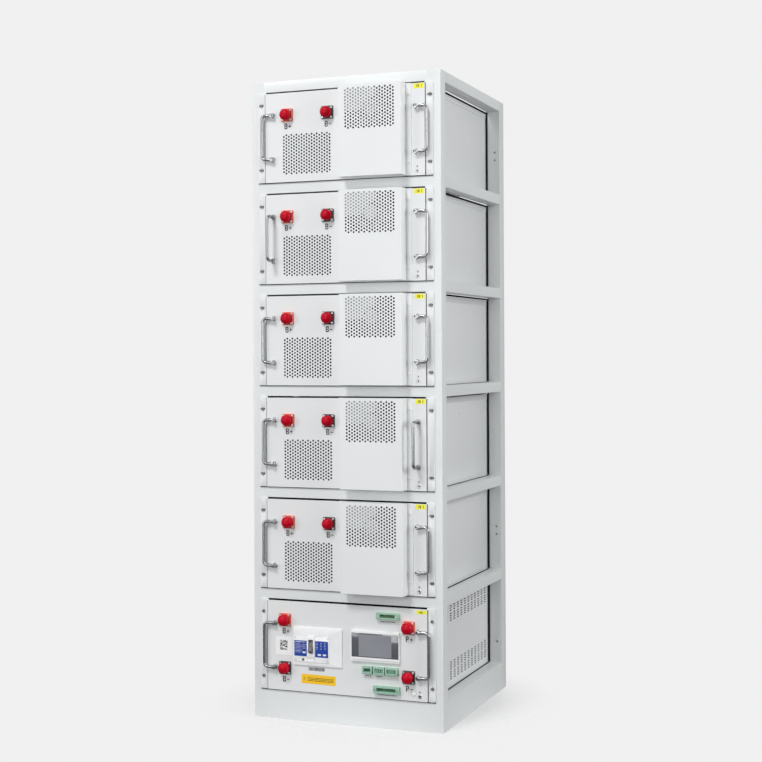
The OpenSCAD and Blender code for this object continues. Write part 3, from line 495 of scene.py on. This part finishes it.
def plate(x, z, w, h, front, thick, radius, turn, steps):
    """A thin upright plate with rounded corners, in metres. Its back lies at y = front."""
    bm = bmesh.new()
    radius = min(radius, w / 2 - 1e-6, h / 2 - 1e-6)
    outline = []
    for cx, cz, start in ((1, 1, 0), (-1, 1, 90), (-1, -1, 180), (1, -1, 270)):
        for k in range(steps + 1):
            a = math.radians(start + 90 * k / steps)
            outline.append((
                cx * (w / 2 - radius) + radius * math.cos(a), cz * (h / 2 - radius) + radius * math.sin(a)
            ))
    c, s = math.cos(turn), math.sin(turn)
    outline = [(x + u * c - v * s, z + u * s + v * c) for u, v in outline]
    front_ring = [bm.verts.new((u, front - thick, v)) for u, v in outline]
    back_ring = [bm.verts.new((u, front, v)) for u, v in outline]
    bm.faces.new(front_ring)
    bm.faces.new(list(reversed(back_ring)))
    count = len(outline)
    for k in range(count):
        j = (k + 1) % count
        bm.faces.new((front_ring[j], front_ring[k], back_ring[k], back_ring[j]))
    bmesh.ops.recalc_face_normals(bm, faces=bm.faces)
    return bm


def lathe(profile, centre, steps, closed=True):
    """Turns (radius, along) pairs round the Y axis through centre. Along runs towards -Y."""
    bm = bmesh.new()
    rings = []
    for radius, along in profile:
        if radius < 1e-7:
            rings.append([bm.verts.new((centre[0], centre[1] - along, centre[2]))])
        else:
            ring = []
            for k in range(steps):
                a = 2 * math.pi * k / steps
                ring.append(bm.verts.new((
                    centre[0] + radius * math.cos(a), centre[1] - along, centre[2] + radius * math.sin(a)
                )))
            rings.append(ring)
    for a, b in zip(rings, rings[1:]):
        for k in range(steps):
            j = (k + 1) % steps
            corners = [a[k % len(a)], a[j % len(a)], b[j % len(b)], b[k % len(b)]]
            unique = []
            for v in corners:
                if v not in unique:
                    unique.append(v)
            if len(unique) > 2:
                bm.faces.new(unique)
    for ring in (rings[0], rings[-1]):
        if closed and len(ring) > 2:
            bm.faces.new(ring)
    bmesh.ops.recalc_face_normals(bm, faces=bm.faces)
    return bm


# ---------------------------------------------------------------------------
# From CAD solids to finished pieces
# ---------------------------------------------------------------------------

# Each rule: label, material, bevel in mm, test(size in mm, middle in mm)
def sort_solids(node, rules):
    """{label: (material, [BMesh, ...])} with the sharp edges of each solid rounded."""
    out = {}
    for bm in solids_of(node):
        lo, hi = extent(bm)
        size = (hi - lo) / MM
        middle = (hi + lo) / 2 / MM
        for label, material, width, test in rules:
            if test(size, middle):
                if width:
                    merge_flat(bm)
                    bevel_sharp(bm, width * MM)
                out.setdefault(label, (material, []))[1].append(bm)
                break
        else:
            raise RuntimeError(f"{node}: no rule for a solid of size {tuple(size)} at {tuple(middle)}")
    return out


def paint_hole_wall_shade(mesh, across, fields):
    """Paints the walls of small holes in a sheet near-black as painted shade. across is its normal axis,
    fields are boxes in mm.
    """
    mesh.materials.append(M["hole"])
    for face in mesh.polygons:
        centre = face.center / MM
        if abs(face.normal[across]) < 0.5 and any(
            all(lo[i] < centre[i] < hi[i] for i in range(3)) for lo, hi in fields
        ):
            face.material_index = 1


def finish_node(node, rules, body, copies=(), holes=None):
    """Puts finished pieces in place of a CAD node and of its copies: (node, body, shift)."""
    for label, (material, bms) in sort_solids(node, rules).items():
        mesh = mesh_from(bms, f"{node}_{label}", material)
        # holes gives the piece whose hole walls get painted shade: (label, normal axis, boxes in mm)
        if holes and holes[0] == label:
            paint_hole_wall_shade(mesh, *holes[1:])
        for name, ride_on, shift in ((node, body, (0, 0, 0)), *copies):
            made = put(mesh, f"{name}_{label}", ride_on, shift)
            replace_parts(made, name)


MODULES = [1, 2, 3, 4, 5]


def module_shift(n):
    """From module 1's place to module n's."""
    return (0, 0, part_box(f"module_{n}_case")[0].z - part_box("module_1_case")[0].z)


def copies_of(piece):
    return [(f"module_{n}_{piece}", f"module_{n}", module_shift(n)) for n in MODULES[1:]]


def any_solid(size, middle):
    return True


def welded(bms):
    """One BMesh of several overlapping ones."""
    helpers = []
    for bm in bms:
        mesh = bpy.data.meshes.new("weld")
        bm.to_mesh(mesh)
        bm.free()
        helper = bpy.data.objects.new("weld", mesh)
        scene.collection.objects.link(helper)
        helpers.append(helper)
    others = bpy.data.collections.new("weld_others")
    scene.collection.children.link(others)
    for helper in helpers[1:]:
        others.objects.link(helper)
    join = helpers[0].modifiers.new("weld", "BOOLEAN")
    join.operation = "UNION"
    join.operand_type = "COLLECTION"
    join.collection = others
    join.solver = "EXACT"
    bpy.context.view_layer.update()
    result = bmesh.new()
    result.from_object(helpers[0], bpy.context.evaluated_depsgraph_get())
    for helper in helpers:
        mesh = helper.data
        bpy.data.objects.remove(helper)
        bpy.data.meshes.remove(mesh)
    bpy.data.collections.remove(others)
    return result


def finish_rack():
    """Posts and rails become one welded frame with rounded edges; the rest of the rack stays in pieces."""
    tubes, loose = [], {}
    overlap = 0.6 * MM
    for bm in solids_of("rack_frame"):
        lo, hi = extent(bm)
        size = (hi - lo) / MM
        if max(size) > 300 and min(size) > 24:
            along = max(range(3), key=lambda i: size[i])
            if along < 2:
                for v in bm.verts:
                    if v.co[along] > hi[along] - 1e-5:
                        v.co[along] += overlap
                    elif v.co[along] < lo[along] + 1e-5:
                        v.co[along] -= overlap
            merge_flat(bm)
            tubes.append(bm)
            continue
        if size.z < 5:
            label, width = "anchor_plates", 0.5
        elif size.x < 11:
            label, width = "nuts", 0.3
        else:
            label, width = "runners", 0.4
        merge_flat(bm)
        bevel_sharp(bm, width * MM)
        loose.setdefault(label, []).append(bm)
    frame_bm = welded(tubes)
    bmesh.ops.remove_doubles(frame_bm, verts=frame_bm.verts, dist=2e-5)
    frame_bm.normal_update()
    merge_flat(frame_bm)

    def outer(e):
        a, b = e.verts[0].co, e.verts[1].co
        return e.is_convex and e.calc_length() > 0.012 and max(a.z, b.z) > 0.001

    bevel_sharp(frame_bm, 0.95 * MM, 3, 32, outer)
    for label, bms in (("welded", [frame_bm]), *loose.items()):
        name = f"rack_frame_{label}"
        mesh = mesh_from(bms, name, "screw" if label == "nuts" else "rack", 32)
        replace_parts(put(mesh, name, "rack"), "rack_frame")


finish_rack()

CASE_RULES = [
    ("tray", "case", 0.25, lambda s, m: s.y > 400 and s.z > 100),
    ("lid", "case", 0.25, lambda s, m: s.y > 400),
    ("ears", "ear", 0.3, lambda s, m: s.z > 200),
    ("ear_screws", "dark_screw", 0.12, lambda s, m: s.y > 12),
    ("side_screws", "case", 0.25, lambda s, m: s.x < 2),
]
finish_node("module_1_case", CASE_RULES, "module_1", copies_of("case"))

CONTROL_CASE_RULES = [("tray", "case", 0.0, CASE_RULES[0][3])] + CASE_RULES[1:]
control_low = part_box("control_case")[0].z / MM
# Boxes round the control case's side slits; the slit walls inside them get painted shade
SLIT_WALLS = [
    ((-219, -250, control_low + z0), (219, 250, control_low + z1)) for z0, z1 in ((14, 71), (167, 223))
]
finish_node(
    "control_case", CONTROL_CASE_RULES, "control_module", holes=("tray", 0, SLIT_WALLS)
)

FITTING_RULES = [
    ("earth_point", "screw", 0.12, lambda s, m: 9.5 < s.x < 10.5 and s.y > 10),
    ("flange_screws", "screw", 0.12, lambda s, m: 5.5 < s.x < 6.3 and 9 < s.y < 13),
    ("contacts", "gold", 0.2, lambda s, m: 7 < s.x < 8.2 and s.y > 30),
    ("handle_posts", "chrome", 0.35, lambda s, m: 12 < s.x < 16 and s.y > 15),
    ("handle_pins", "screw", 0.15, lambda s, m: s.x < 3.2 and s.y < 3.2 and s.z > 8),
]
PANEL_RULES = [
    ("plate", "panel", 0.0, lambda s, m: s.x > 400),
    ("receptacle_positive", "flange_red", 0.35, lambda s, m: s.x > 30 and s.y > 30 and m.x < -100),
    ("receptacle_negative", "flange_black", 0.35, lambda s, m: s.x > 30 and s.y > 30),
    ("cover_screws", "screw", 0.1, lambda s, m: 5 < s.x < 5.7 and s.y < 10.5),
] + FITTING_RULES
top_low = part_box("module_1_case")[0].z / MM
# Boxes round the panel's and the cover's vent holes; the hole walls inside them get painted shade
PANEL_VENT = [((-171, -300, top_low + 12), (-35, -270, top_low + 131))]
COVER_VENT = [((16, -320, top_low + 114), (152, -310, top_low + 232))]
finish_node(
    "module_1_front_panel", PANEL_RULES, "module_1", copies_of("front_panel"),
    ("plate", 1, PANEL_VENT),
)

control_mid_z = sum(v.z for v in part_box("control_front_panel")) / 2 / MM
CONTROL_PANEL_RULES = [
    ("plate", "panel", 0.0, lambda s, m: s.x > 400),
    ("receptacles_positive", "flange_red", 0.35, lambda s, m: s.x > 30 and s.y > 30 and m.z > control_mid_z),
    ("receptacles_negative", "flange_black", 0.35, lambda s, m: s.x > 30 and s.y > 30),
    ("spare_hole_plug", "white", 0.3, lambda s, m: 11.5 < s.x < 12.5 and s.y < 10),
] + FITTING_RULES
finish_node("control_front_panel", CONTROL_PANEL_RULES, "control_module")

COVER_RULES = [
    ("fan_frame", "fan_frame", 0.5, lambda s, m: s.x < 110),
    ("sheet", "cover", 0.0, any_solid),
]
finish_node(
    "module_1_cover", COVER_RULES, "module_1", copies_of("cover"), ("sheet", 1, COVER_VENT)
)

CELL_RULES = [
    ("cells", "cell_film", 2.0, lambda s, m: s.x > 120 and s.z > 150 and s.y > 20),
    ("clamp_plate", "aluminium", 0.5, lambda s, m: s.x > 300 and s.z > 150),
    ("pad", "pad", 0.3, lambda s, m: s.x > 300 and s.z < 5),
    ("management_board", "board", 0.2, lambda s, m: s.y < 2),
    ("board_parts", "black", 0.5, lambda s, m: s.y < 8),
    ("fuse", "ceramic", 1.0, lambda s, m: 25 < s.x < 27 and s.z > 70),
    ("busbars", "nickel", 0.4, any_solid),
]
finish_node("module_1_cell_pack", CELL_RULES, "module_1", copies_of("cell_pack"))

ELECTRONICS_RULES = [
    ("connector_contacts", "gold", 0.1, lambda s, m: s.x < 1.2),
    ("main_board", "board", 0.2, lambda s, m: s.y < 2),
    ("supply", "aluminium", 1.0, lambda s, m: s.y > 150),
    ("fuse", "ceramic", 1.0, lambda s, m: 85 < s.x < 95),
    ("bars", "copper", 0.5, lambda s, m: s.z < 10),
    ("contactor_bodies", "dark", 1.2, lambda s, m: s.x > 45),
    ("contactor_coils", "black", 1.0, any_solid),
]
finish_node("control_electronics", ELECTRONICS_RULES, "control_module")

finish_node("control_display", [
    ("glass", "glass", 0.15, lambda s, m: s.y < 3),
    ("bezel", "white", 0.8, any_solid),
], "control_module")

finish_node("circuit_breaker", [
    ("frame_plate", "white", 0.4, lambda s, m: s.y < 10),
    ("body", "white", 0.5, any_solid),
], "control_module")
finish_node("signal_connectors", [
    ("screws", "screw", 0.1, lambda s, m: s.x < 5),
    ("bodies", "green", 0.4, any_solid),
], "control_module")
finish_node("breaker_toggle", [("lever", "toggle", 0.6, any_solid)], "breaker_toggle")
finish_node(
    "breaker_trip_button", [("button", "black", 0.4, any_solid)], "breaker_trip_button"
)


def finish_cap(node, first=None):
    """Every cap is the same moulding. first is that mesh and the low corner of the cap it was made from."""
    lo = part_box(node)[0]
    if first is None:
        (bm,) = solids_of(node)
        merge_flat(bm)
        bevel_sharp(bm, 0.5 * MM)
        first = (mesh_from([bm], "cap", "cap", 40), lo)
    made = put(first[0], f"{node}_moulding", node, lo - first[1])
    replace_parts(made, node)
    return first


first_cap = None
for n in MODULES:
    for word in ("positive", "negative"):
        first_cap = finish_cap(f"module_{n}_cap_{word}", first_cap)
for word in ("b_positive", "b_negative", "p_positive", "p_negative"):
    finish_cap(f"control_cap_{word}", first_cap)

rotor_mesh = mesh_from(solids_of("module_1_fan_rotor"), "fan_rotor", "fan_blade")
for n in MODULES:
    node = f"module_{n}_fan_rotor"
    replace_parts(put(rotor_mesh, f"{node}_moulding", node, module_shift(n)), node)

# Handles: each CAD node as it stands, with the tongue's edges rounded
for node in sorted(NODES):
    if "_handle_" in node:
        (bm,) = solids_of(node)
        merge_flat(bm)
        bevel_sharp(bm, 0.3 * MM, 2, 50)
        made = put(mesh_from([bm], node, "chrome", 50), f"{node}_rod", node)
        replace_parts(made, node)

# ---------------------------------------------------------------------------
# Labels, marks and small fittings that the CAD leaves out
# ---------------------------------------------------------------------------

# In mm: the panels' front face, a film's thickness, a case's gap over its bay's floor, and the bay floors
FACE = -279.4
FILM = 0.12
CASE_GAP = 0.5
TOP_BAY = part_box("module_1_case")[0].z / MM - CASE_GAP
CONTROL_BAY = control_low - CASE_GAP


class Marks:
    """Flat marks on a front, in mm: x from the middle, z from the bay's floor, lift before the face."""

    def __init__(self, bay):
        self.bay = bay
        self.parts = {}

    def add(self, key, bm):
        self.parts.setdefault(key, []).append(bm)

    def film(self, key, x, z, w, h, lift=0.0, thick=FILM, radius=0.3, turn=0.0):
        self.add(key, plate(x * MM, (self.bay + z) * MM, w * MM, h * MM, (FACE - lift) * MM, thick * MM,
                            radius * MM, math.radians(turn), 2))

    def turn(self, key, profile, x, z, lift, steps, closed=True):
        profile = [(r * MM, along * MM) for r, along in profile]
        self.add(key, lathe(profile, (x * MM, (FACE - lift) * MM, (self.bay + z) * MM), steps, closed))

    def disc(self, key, x, z, r, lift, thick, steps):
        profile = ((0, 0), (r, 0), (r, thick * 0.7), (r - thick * 0.3, thick), (0, thick))
        self.turn(key, profile, x, z, lift, steps)

    def ring(self, key, x, z, r, width, lift=0.0, thick=FILM):
        inner = r - width
        profile = ((inner, 0), (r, 0), (r, thick), (inner, thick), (inner, 0))
        self.turn(key, profile, x, z, lift, 28, False)

    def dashes(self, key, x0, x1, z, h, lift=0.0, thick=FILM, turn=0.0, pivot=None, longest=5.0):
        """A row of bars that stands for a line of print."""
        x = x0
        while x < x1 - 0.8:
            w = min(random.uniform(1.2, longest), x1 - x)
            cx, cz = x + w / 2, z
            if turn and pivot:
                a = math.radians(turn)
                dx, dz = cx - pivot[0], cz - pivot[1]
                cx = pivot[0] + dx * math.cos(a) - dz * math.sin(a)
                cz = pivot[1] + dx * math.sin(a) + dz * math.cos(a)
            self.film(key, cx, cz, w, h, lift, thick, 0.2, turn)
            x += w + random.uniform(0.7, 1.3)

    def letter(self, key, kind, x, z, h, line=2.3):
        """A plain drawn sign round its middle."""
        w = h * 0.58
        bar = lambda cx, cz, bw, bh: self.film(key, x + cx, z + cz, bw, bh, 0, FILM, line * 0.35)
        if kind in "BP":
            bar(-w / 2 + line / 2, 0, line, h)
            bar(-line * 0.2, h / 2 - line / 2, w - line * 0.6, line)
            bar(-line * 0.2, 0, w - line * 0.6, line)
            bar(w / 2 - line * 0.6, h / 4, line, h / 2 - line * 0.9)
        if kind == "B":
            bar(-line * 0.2, -h / 2 + line / 2, w - line * 0.6, line)
            bar(w / 2 - line * 0.5, -h / 4, line, h / 2 - line * 0.9)
        if kind in "+-":
            bar(0, 0, w, line)
        if kind == "+":
            bar(0, 0, line, w)

    def polarity(self, letter, sign, x, z):
        self.letter("ink", letter, x - 4.6, z, 14.5)
        self.letter("ink", sign, x + 6.2, z - 0.5, 14, 1.7)

    def earth_sign(self, x, z, h=7.5):
        self.film("ink", x, z + h * 0.3, 0.8, h * 0.4, 0, FILM, 0.1)
        for k, w in enumerate((6.0, 3.9, 1.8)):
            self.film("ink", x, z + h * 0.1 - k * 1.5, w, 0.8, 0, FILM, 0.1)

    def place(self, prefix, materials, targets):
        """targets: (name, body, shift) of each module that carries these marks."""
        for key, bms in self.parts.items():
            mesh = mesh_from(bms, f"{prefix}_{key}", materials.get(key, key), 25)
            for name, body, shift in targets:
                put(mesh, f"{name}_{key}", body, shift)


def module_marks():
    marks = Marks(TOP_BAY)
    for x, sign in ((-156.5, "+"), (-43.0, "-")):
        marks.polarity("B", sign, x, 144.5)
    marks.film("yellow_label", 203.8, 224.2, 26.5, 12.5, 0, 0.16, 0.8)
    marks.film("ink", 199.0, 224.2, 1.2, 7.0, 0.16, FILM, 0.2)
    marks.dashes("ink", 201.5, 206.0, 224.2, 6.6, 0.16, FILM, longest=1.4)
    marks.film("ink", 211.0, 224.2, 1.2, 7.0, 0.16, FILM, 0.2)
    marks.earth_sign(199.5, 23.0)
    return marks


targets = [(f"module_{n}_marks", f"module_{n}", module_shift(n)) for n in MODULES]
module_marks().place("module_marks", {"yellow_label": "yellow"}, targets)


# In mm over a bay's floor: the lid's top, and the middle of the fan (and its place across)
LID_TOP = 230.4
FAN_X, FAN_Z = 84, 174


def lid_gap_blocks(bay, inner, bevel):
    """Near-black blocks on the lid along its front edge and both side edges: painted shade that darkens the
    gaps above the lid.
    """
    top = bay + LID_TOP
    return [block((-217.5, -274.6, top), (217.5, -262.0, top + 4.2), 0.6)] + [
        block((side * inner, -262, top), (side * 219.6, 243, top + 4.8), bevel) for side in (-1, 1)
    ]


def panel_gap_blocks(bay):
    """Near-black strips behind the front panel's side edges and along its bottom: painted shade for the gap
    lines there.
    """
    return [
        block((side * 220.05, -278.3, bay + 1), (side * 221.5, -277.45, bay + 231), 0.1) for side in (-1, 1)
    ] + [block((-240, -277.6, bay - 1.3), (240, -275.15, bay + 0.35), 0.2)]


def module_fittings():
    """A battery module's near-black gap blocks and panel vent block (painted shade), and the sheets and hub
    label behind the cover's holes: a mid-grey sheet as painted light and a near-black ring sheet as painted
    shade.
    """
    hub_profile = [(0, 0), (17, 0), (17, 0.25), (16.6, 0.35), (0, 0.35)]
    hub = lathe([(r * MM, along * MM) for r, along in hub_profile],
                (FAN_X * MM, (FACE - 31.55) * MM, (TOP_BAY + FAN_Z) * MM), 40)
    # Near-black block just behind the panel's vent holes, so the holes read dark: painted shade
    panel_vent_shade_block = block((-173, FACE + 3.2, TOP_BAY + 14), (-33, FACE + 5.2, TOP_BAY + 130), 0.4)
    for label, material, bms in (
        ("top_seal", "gap_shade", lid_gap_blocks(TOP_BAY, 216.6, 0.6)),
        ("fan_hub_label", "pale", [hub]),
        ("fan_bracket", "vent_lit_grey", [lit_sheet_plate(FAN_X, TOP_BAY + FAN_Z)]),
        ("dust_filter", "gap_shade", [panel_vent_shade_block]),
        ("fan_guard", "gap_shade", [shade_ring_plate(FAN_X, TOP_BAY + FAN_Z, 41.5)]),
        ("edge_seals", "gap_shade", panel_gap_blocks(TOP_BAY)),
    ):
        mesh = mesh_from(bms, f"module_{label}", material)
        for n in MODULES:
            body = f"module_{n}_fan_rotor" if label == "fan_hub_label" else f"module_{n}"
            put(mesh, f"module_{n}_{label}", body, module_shift(n))


def sheet(outlines, y0, y1):
    """Upright sheets between two depths, from closed outlines in mm."""
    bm = bmesh.new()
    for outline in outlines:
        near = [bm.verts.new((u * MM, y0 * MM, v * MM)) for u, v in outline]
        far = [bm.verts.new((u * MM, y1 * MM, v * MM)) for u, v in outline]
        bm.faces.new(near)
        bm.faces.new(list(reversed(far)))
        for k in range(len(outline)):
            j = (k + 1) % len(outline)
            bm.faces.new((near[j], near[k], far[k], far[j]))
    bmesh.ops.recalc_face_normals(bm, faces=bm.faces)
    return bm


def shade_ring_plate(x, z, r):
    """Near-black sheet between the cover and the fan, with a round hole over the blades, in two halves:
    painted shade behind the cover's holes.
    """
    outlines = []
    for side in (-1, 1):
        split, edge = x + side * 0.05, x + side * 71
        outline = [(split, z + 57), (edge, z + 57), (edge, z - 57), (split, z - 57)]
        for k in range(25):
            a = math.radians(-90 + side * 180 * k / 24)
            rise = math.sin(a) if side > 0 else -math.sin(a + math.pi)
            outline.append((split + abs(math.cos(a)) * r * side, z + rise * r))
        outlines.append(outline)
    return sheet(outlines, FACE - 32.8, FACE - 32.62)


def lit_sheet_plate(x, z):
    """Mid-grey sheet between cover and fan on the upper left, cut back round the fan's lower right: painted
    light where light falls in through the holes.
    """
    left, right_end, top, bottom = x - 70, x + 14, z + 58, z - 6
    cx, cz, r = x + 19, z - 13, 42
    outline = [(left, bottom), (left, top), (right_end, top)]
    start = math.acos((right_end - cx) / r)
    end = math.pi - math.asin((bottom - cz) / r)
    for k in range(25):
        a = start + (end - start) * k / 24
        outline.append((cx + r * math.cos(a), cz + r * math.sin(a)))
    return sheet([outline], FACE - 33.3, FACE - 32.95)


module_fittings()


def control_fittings():
    """The control module's near-black gap blocks, and near-black sheets just inside its slit walls: both
    painted shade.
    """
    gap_blocks = lid_gap_blocks(CONTROL_BAY, 218.1, 0.4) + panel_gap_blocks(CONTROL_BAY)
    # Near-black sheets just inside the slit walls, so the slits read dark: painted shade
    sheets = [
        block((side * 215.9, -262, CONTROL_BAY + z0), (side * 216.9, 238, CONTROL_BAY + z1), 0.3)
        for side in (-1, 1) for z0, z1 in ((12, 72), (166, 222))
    ]
    for bms, mesh_name, name in (
        (gap_blocks, "control_gap_shade", "control_case_seals"), (sheets, "control_slit_shade_sheets", "control_case_insulation")
    ):
        put(mesh_from(bms, mesh_name, "gap_shade"), name, "control_module")


def rack_gap_shade_strips():
    """Near-black strips on the rack in the gaps beside each case, on the rear posts and side rails: painted
    shade for those gaps.
    """
    strips = []
    pitch = (TOP_BAY - CONTROL_BAY) / 5
    for bay in range(6):
        z = CONTROL_BAY + bay * pitch
        for side in (-1, 1):
            for inner, outer, y0, y1, z0, z1 in (
                (220.6, 222.9, 237, 246, 2, 228), (220.6, 222.9, -237, 233, -7, -3),
                (221.2, 225.6, 233.7, 234.95, 2, 234), (221.2, 225.6, -238, 233.5, 0.05, 0.9),
            ):
                strips.append(block((side * inner, y0, z + z0), (side * outer, y1, z + z1), 0.3))
    put(mesh_from(strips, "rack_gap_shade_strips", "gap_shade"), "rack_frame_bumper_strips", "rack")


control_fittings()
rack_gap_shade_strips()


def block_pattern(marks, x, z, w, h, lift):
    """Made-up blocks that hold no message."""
    columns, rows = 15, 18
    step_x, step_z = w / columns, h / rows
    for row in range(rows):
        column = 0
        while column < columns:
            run = random.choice((1, 1, 2, 3))
            if random.random() < 0.55:
                run = min(run, columns - column)
                marks.film("ink", x - w / 2 + (column + run / 2) * step_x, z + h / 2 - (row + 0.5) * step_z,
                           run * step_x * 0.98, step_z * 0.98, lift, FILM, 0.05)
            column += run


def control_marks():
    marks = Marks(CONTROL_BAY)
    for letter, side in (("B", -1), ("P", 1)):
        for sign, z in (("+", 154.0), ("-", 29.5)):
            marks.polarity(letter, sign, side * 170 + 1.5, z)
    marks.film("yellow_label", 204.7, 223.6, 27.5, 9.6, 0, 0.16, 0.6)
    marks.film("ink", 199.5, 223.6, 1.0, 5.5, 0.16, FILM, 0.1)
    marks.dashes("ink", 202.0, 208.5, 223.6, 5.2, 0.16, FILM, longest=1.3)
    marks.earth_sign(199.5, 23.5)
    marks.ring("grey_ink", 183, 19, 6.9, 0.5)
    # White sticker with a block pattern
    marks.film("sticker", -174.3, 115.5, 46.6, 47, 0, 0.16, 1.0)
    block_pattern(marks, -174.5, 117, 21, 25, 0.16)
    # Amber label with plain lines
    marks.film("amber_label", -76.5, 34, 95, 24, 0, 0.18, 1.6, -0.6)
    for z in (37.2, 33.6, 30.0):
        marks.dashes("ink", -107, -35, z, 1.5, 0.18, FILM, -0.6, (-76.5, 34), 6)
    marks.film("ink", -116, 36.5, 5.2, 1.0, 0.18, FILM, 0.1, 45)
    marks.film("ink", -116, 32.5, 5.2, 1.0, 0.18, FILM, 0.1, -45)
    # Lines of print beside the fittings
    marks.dashes("ink", -104, -60, 60.5, 8.5, 0, FILM, longest=2.6)
    marks.dashes("ink", 95, 136, 194.5, 2.6, 0, FILM, longest=3)
    marks.dashes("ink", 53, 68, 55.0, 2.4, 0, FILM, longest=3)
    marks.dashes("ink", 84, 99, 55.0, 2.4, 0, FILM, longest=3)
    marks.dashes("ink", 86, 137, 9.5, 2.4, 0, FILM, longest=3)
    return marks


control_marks().place("control_marks", {"yellow_label": "yellow", "amber_label": "amber"},
                      [("control_marks", "control_module", (0, 0, 0))])


def breaker_details():
    """Blue labels with plain white bars on the breaker's nose, and the seams of its moulding."""
    marks = Marks(CONTROL_BAY)
    nose = 5.0
    for x0, x1, z0, z1 in ((-142, -107.2, 93, 133), (-83.8, -47.5, 92.5, 134)):
        marks.film("blue_label", (x0 + x1) / 2, (z0 + z1) / 2, x1 - x0, z1 - z0, nose, 0.2, 0.6)
    lift = nose + 0.2
    marks.dashes("white_ink", -139, -124, 129.5, 2.2, lift, longest=6)
    marks.dashes("white_ink", -122, -110, 129.5, 1.4, lift, longest=4)
    for k in range(7):
        marks.dashes("white_ink", -139, -124 + 3 * (k % 3), 124.5 - 3.6 * k, 0.9, lift, longest=4)
    for k in range(4):
        marks.dashes("white_ink", -119, -110, 123.0 - 3.4 * k, 0.9, lift, longest=3)
    marks.film("white_ink", -114.5, 103.0, 9, 4.2, lift, FILM, 0.3)
    for x in (-79, -67, -56):
        for k in range(5):
            marks.dashes("white_ink", x - 2.5, x + 3, 129.5 - 4.0 * k, 0.9, lift, longest=2.4)
    marks.film("white_ink", -72, 99.0, 9, 4.4, lift, FILM, 0.3)
    marks.film("white_ink", -57.5, 99.0, 9, 4.4, lift, FILM, 0.3)
    # Moulding seams and cover screws
    marks.film("seam", -106.2, 112, 0.5, 66, nose, 0.05, 0.1)
    marks.film("seam", -84.9, 112, 0.5, 66, nose, 0.05, 0.1)
    for x in (-139.5, -49.5):
        for z in (141.5, 82.5):
            marks.ring("seam", x, z, 2.6, 0.5, nose, 0.05)
    marks.ring("seam", -117.4, 84.5, 4.2, 0.5, nose, 0.05)
    marks.place("breaker", {"blue_label": "blue", "seam": "grey_ink"},
                [("circuit_breaker", "control_module", (0, 0, 0))])


breaker_details()


def display_details():
    """The lit area under the glass, a status light and the bezel's lower seam."""
    marks = Marks(CONTROL_BAY)
    glass = 5.8
    marks.film("screen", 81.5, 132.2, 89, 55.5, glass, 0.06, 0.2)
    marks.film("status_light", 21.5, 158.5, 1.4, 1.4, glass, 0.1, 0.6)
    marks.film("lower_seam", 81.3, 95.6, 124, 0.6, 6.1, 0.06, 0.1)
    marks.place("display", {"lower_seam": "grey_ink", "status_light": "pale"},
                [("control_display", "control_module", (0, 0, 0))])


display_details()


def connector_details():
    """Socket floors darkened as painted shade, clamp screws and ribs of the green connectors."""
    marks = Marks(CONTROL_BAY)
    front = 10.1
    pitch = 5
    sockets = ((116, 209.5, 41), (60.5, 70.5, 19), (92.3, 70.5, 22), (126, 70.5, 24), (112, 23.5, 52))
    for x, z, w in sockets:
        marks.film("socket_floor", x, z, w - 0.2, 8.8, 1.1, 0.04, 0.1)
    for x, z, w in sockets[1:4]:
        for k in range(3):
            cx = x + (k - 1) * w * 0.36
            marks.disc("terminal_screws", cx, z + 7.0, 1.5, front, 0.3, 16)
            marks.disc("terminal_screws", cx, z - 7.0, 1.1, front, 0.25, 16)
    for x, z, w in (sockets[0], sockets[4]):
        for k in range(int(w // pitch)):
            marks.film("ribs", x + (k - (w // pitch - 1) / 2) * pitch, z - 6.4, 2.6, 1.3, front, 0.25, 0.2)
    for x, z, w in sockets[2:4]:
        for k in range(4):
            cx = x + (k - 1.5) * pitch
            marks.add("plug_pins", block((cx - 1.3, FACE - 8.9, CONTROL_BAY + z - 3.2),
                                         (cx + 1.3, FACE - 1.3, CONTROL_BAY + z + 3.2), 0.3))
    materials = {
        "socket_floor": "green_socket_shade", "terminal_screws": "screw", "ribs": "green", "plug_pins": "green",
    }
    marks.place("connector", materials, [("signal_connectors", "control_module", (0, 0, 0))])


connector_details()
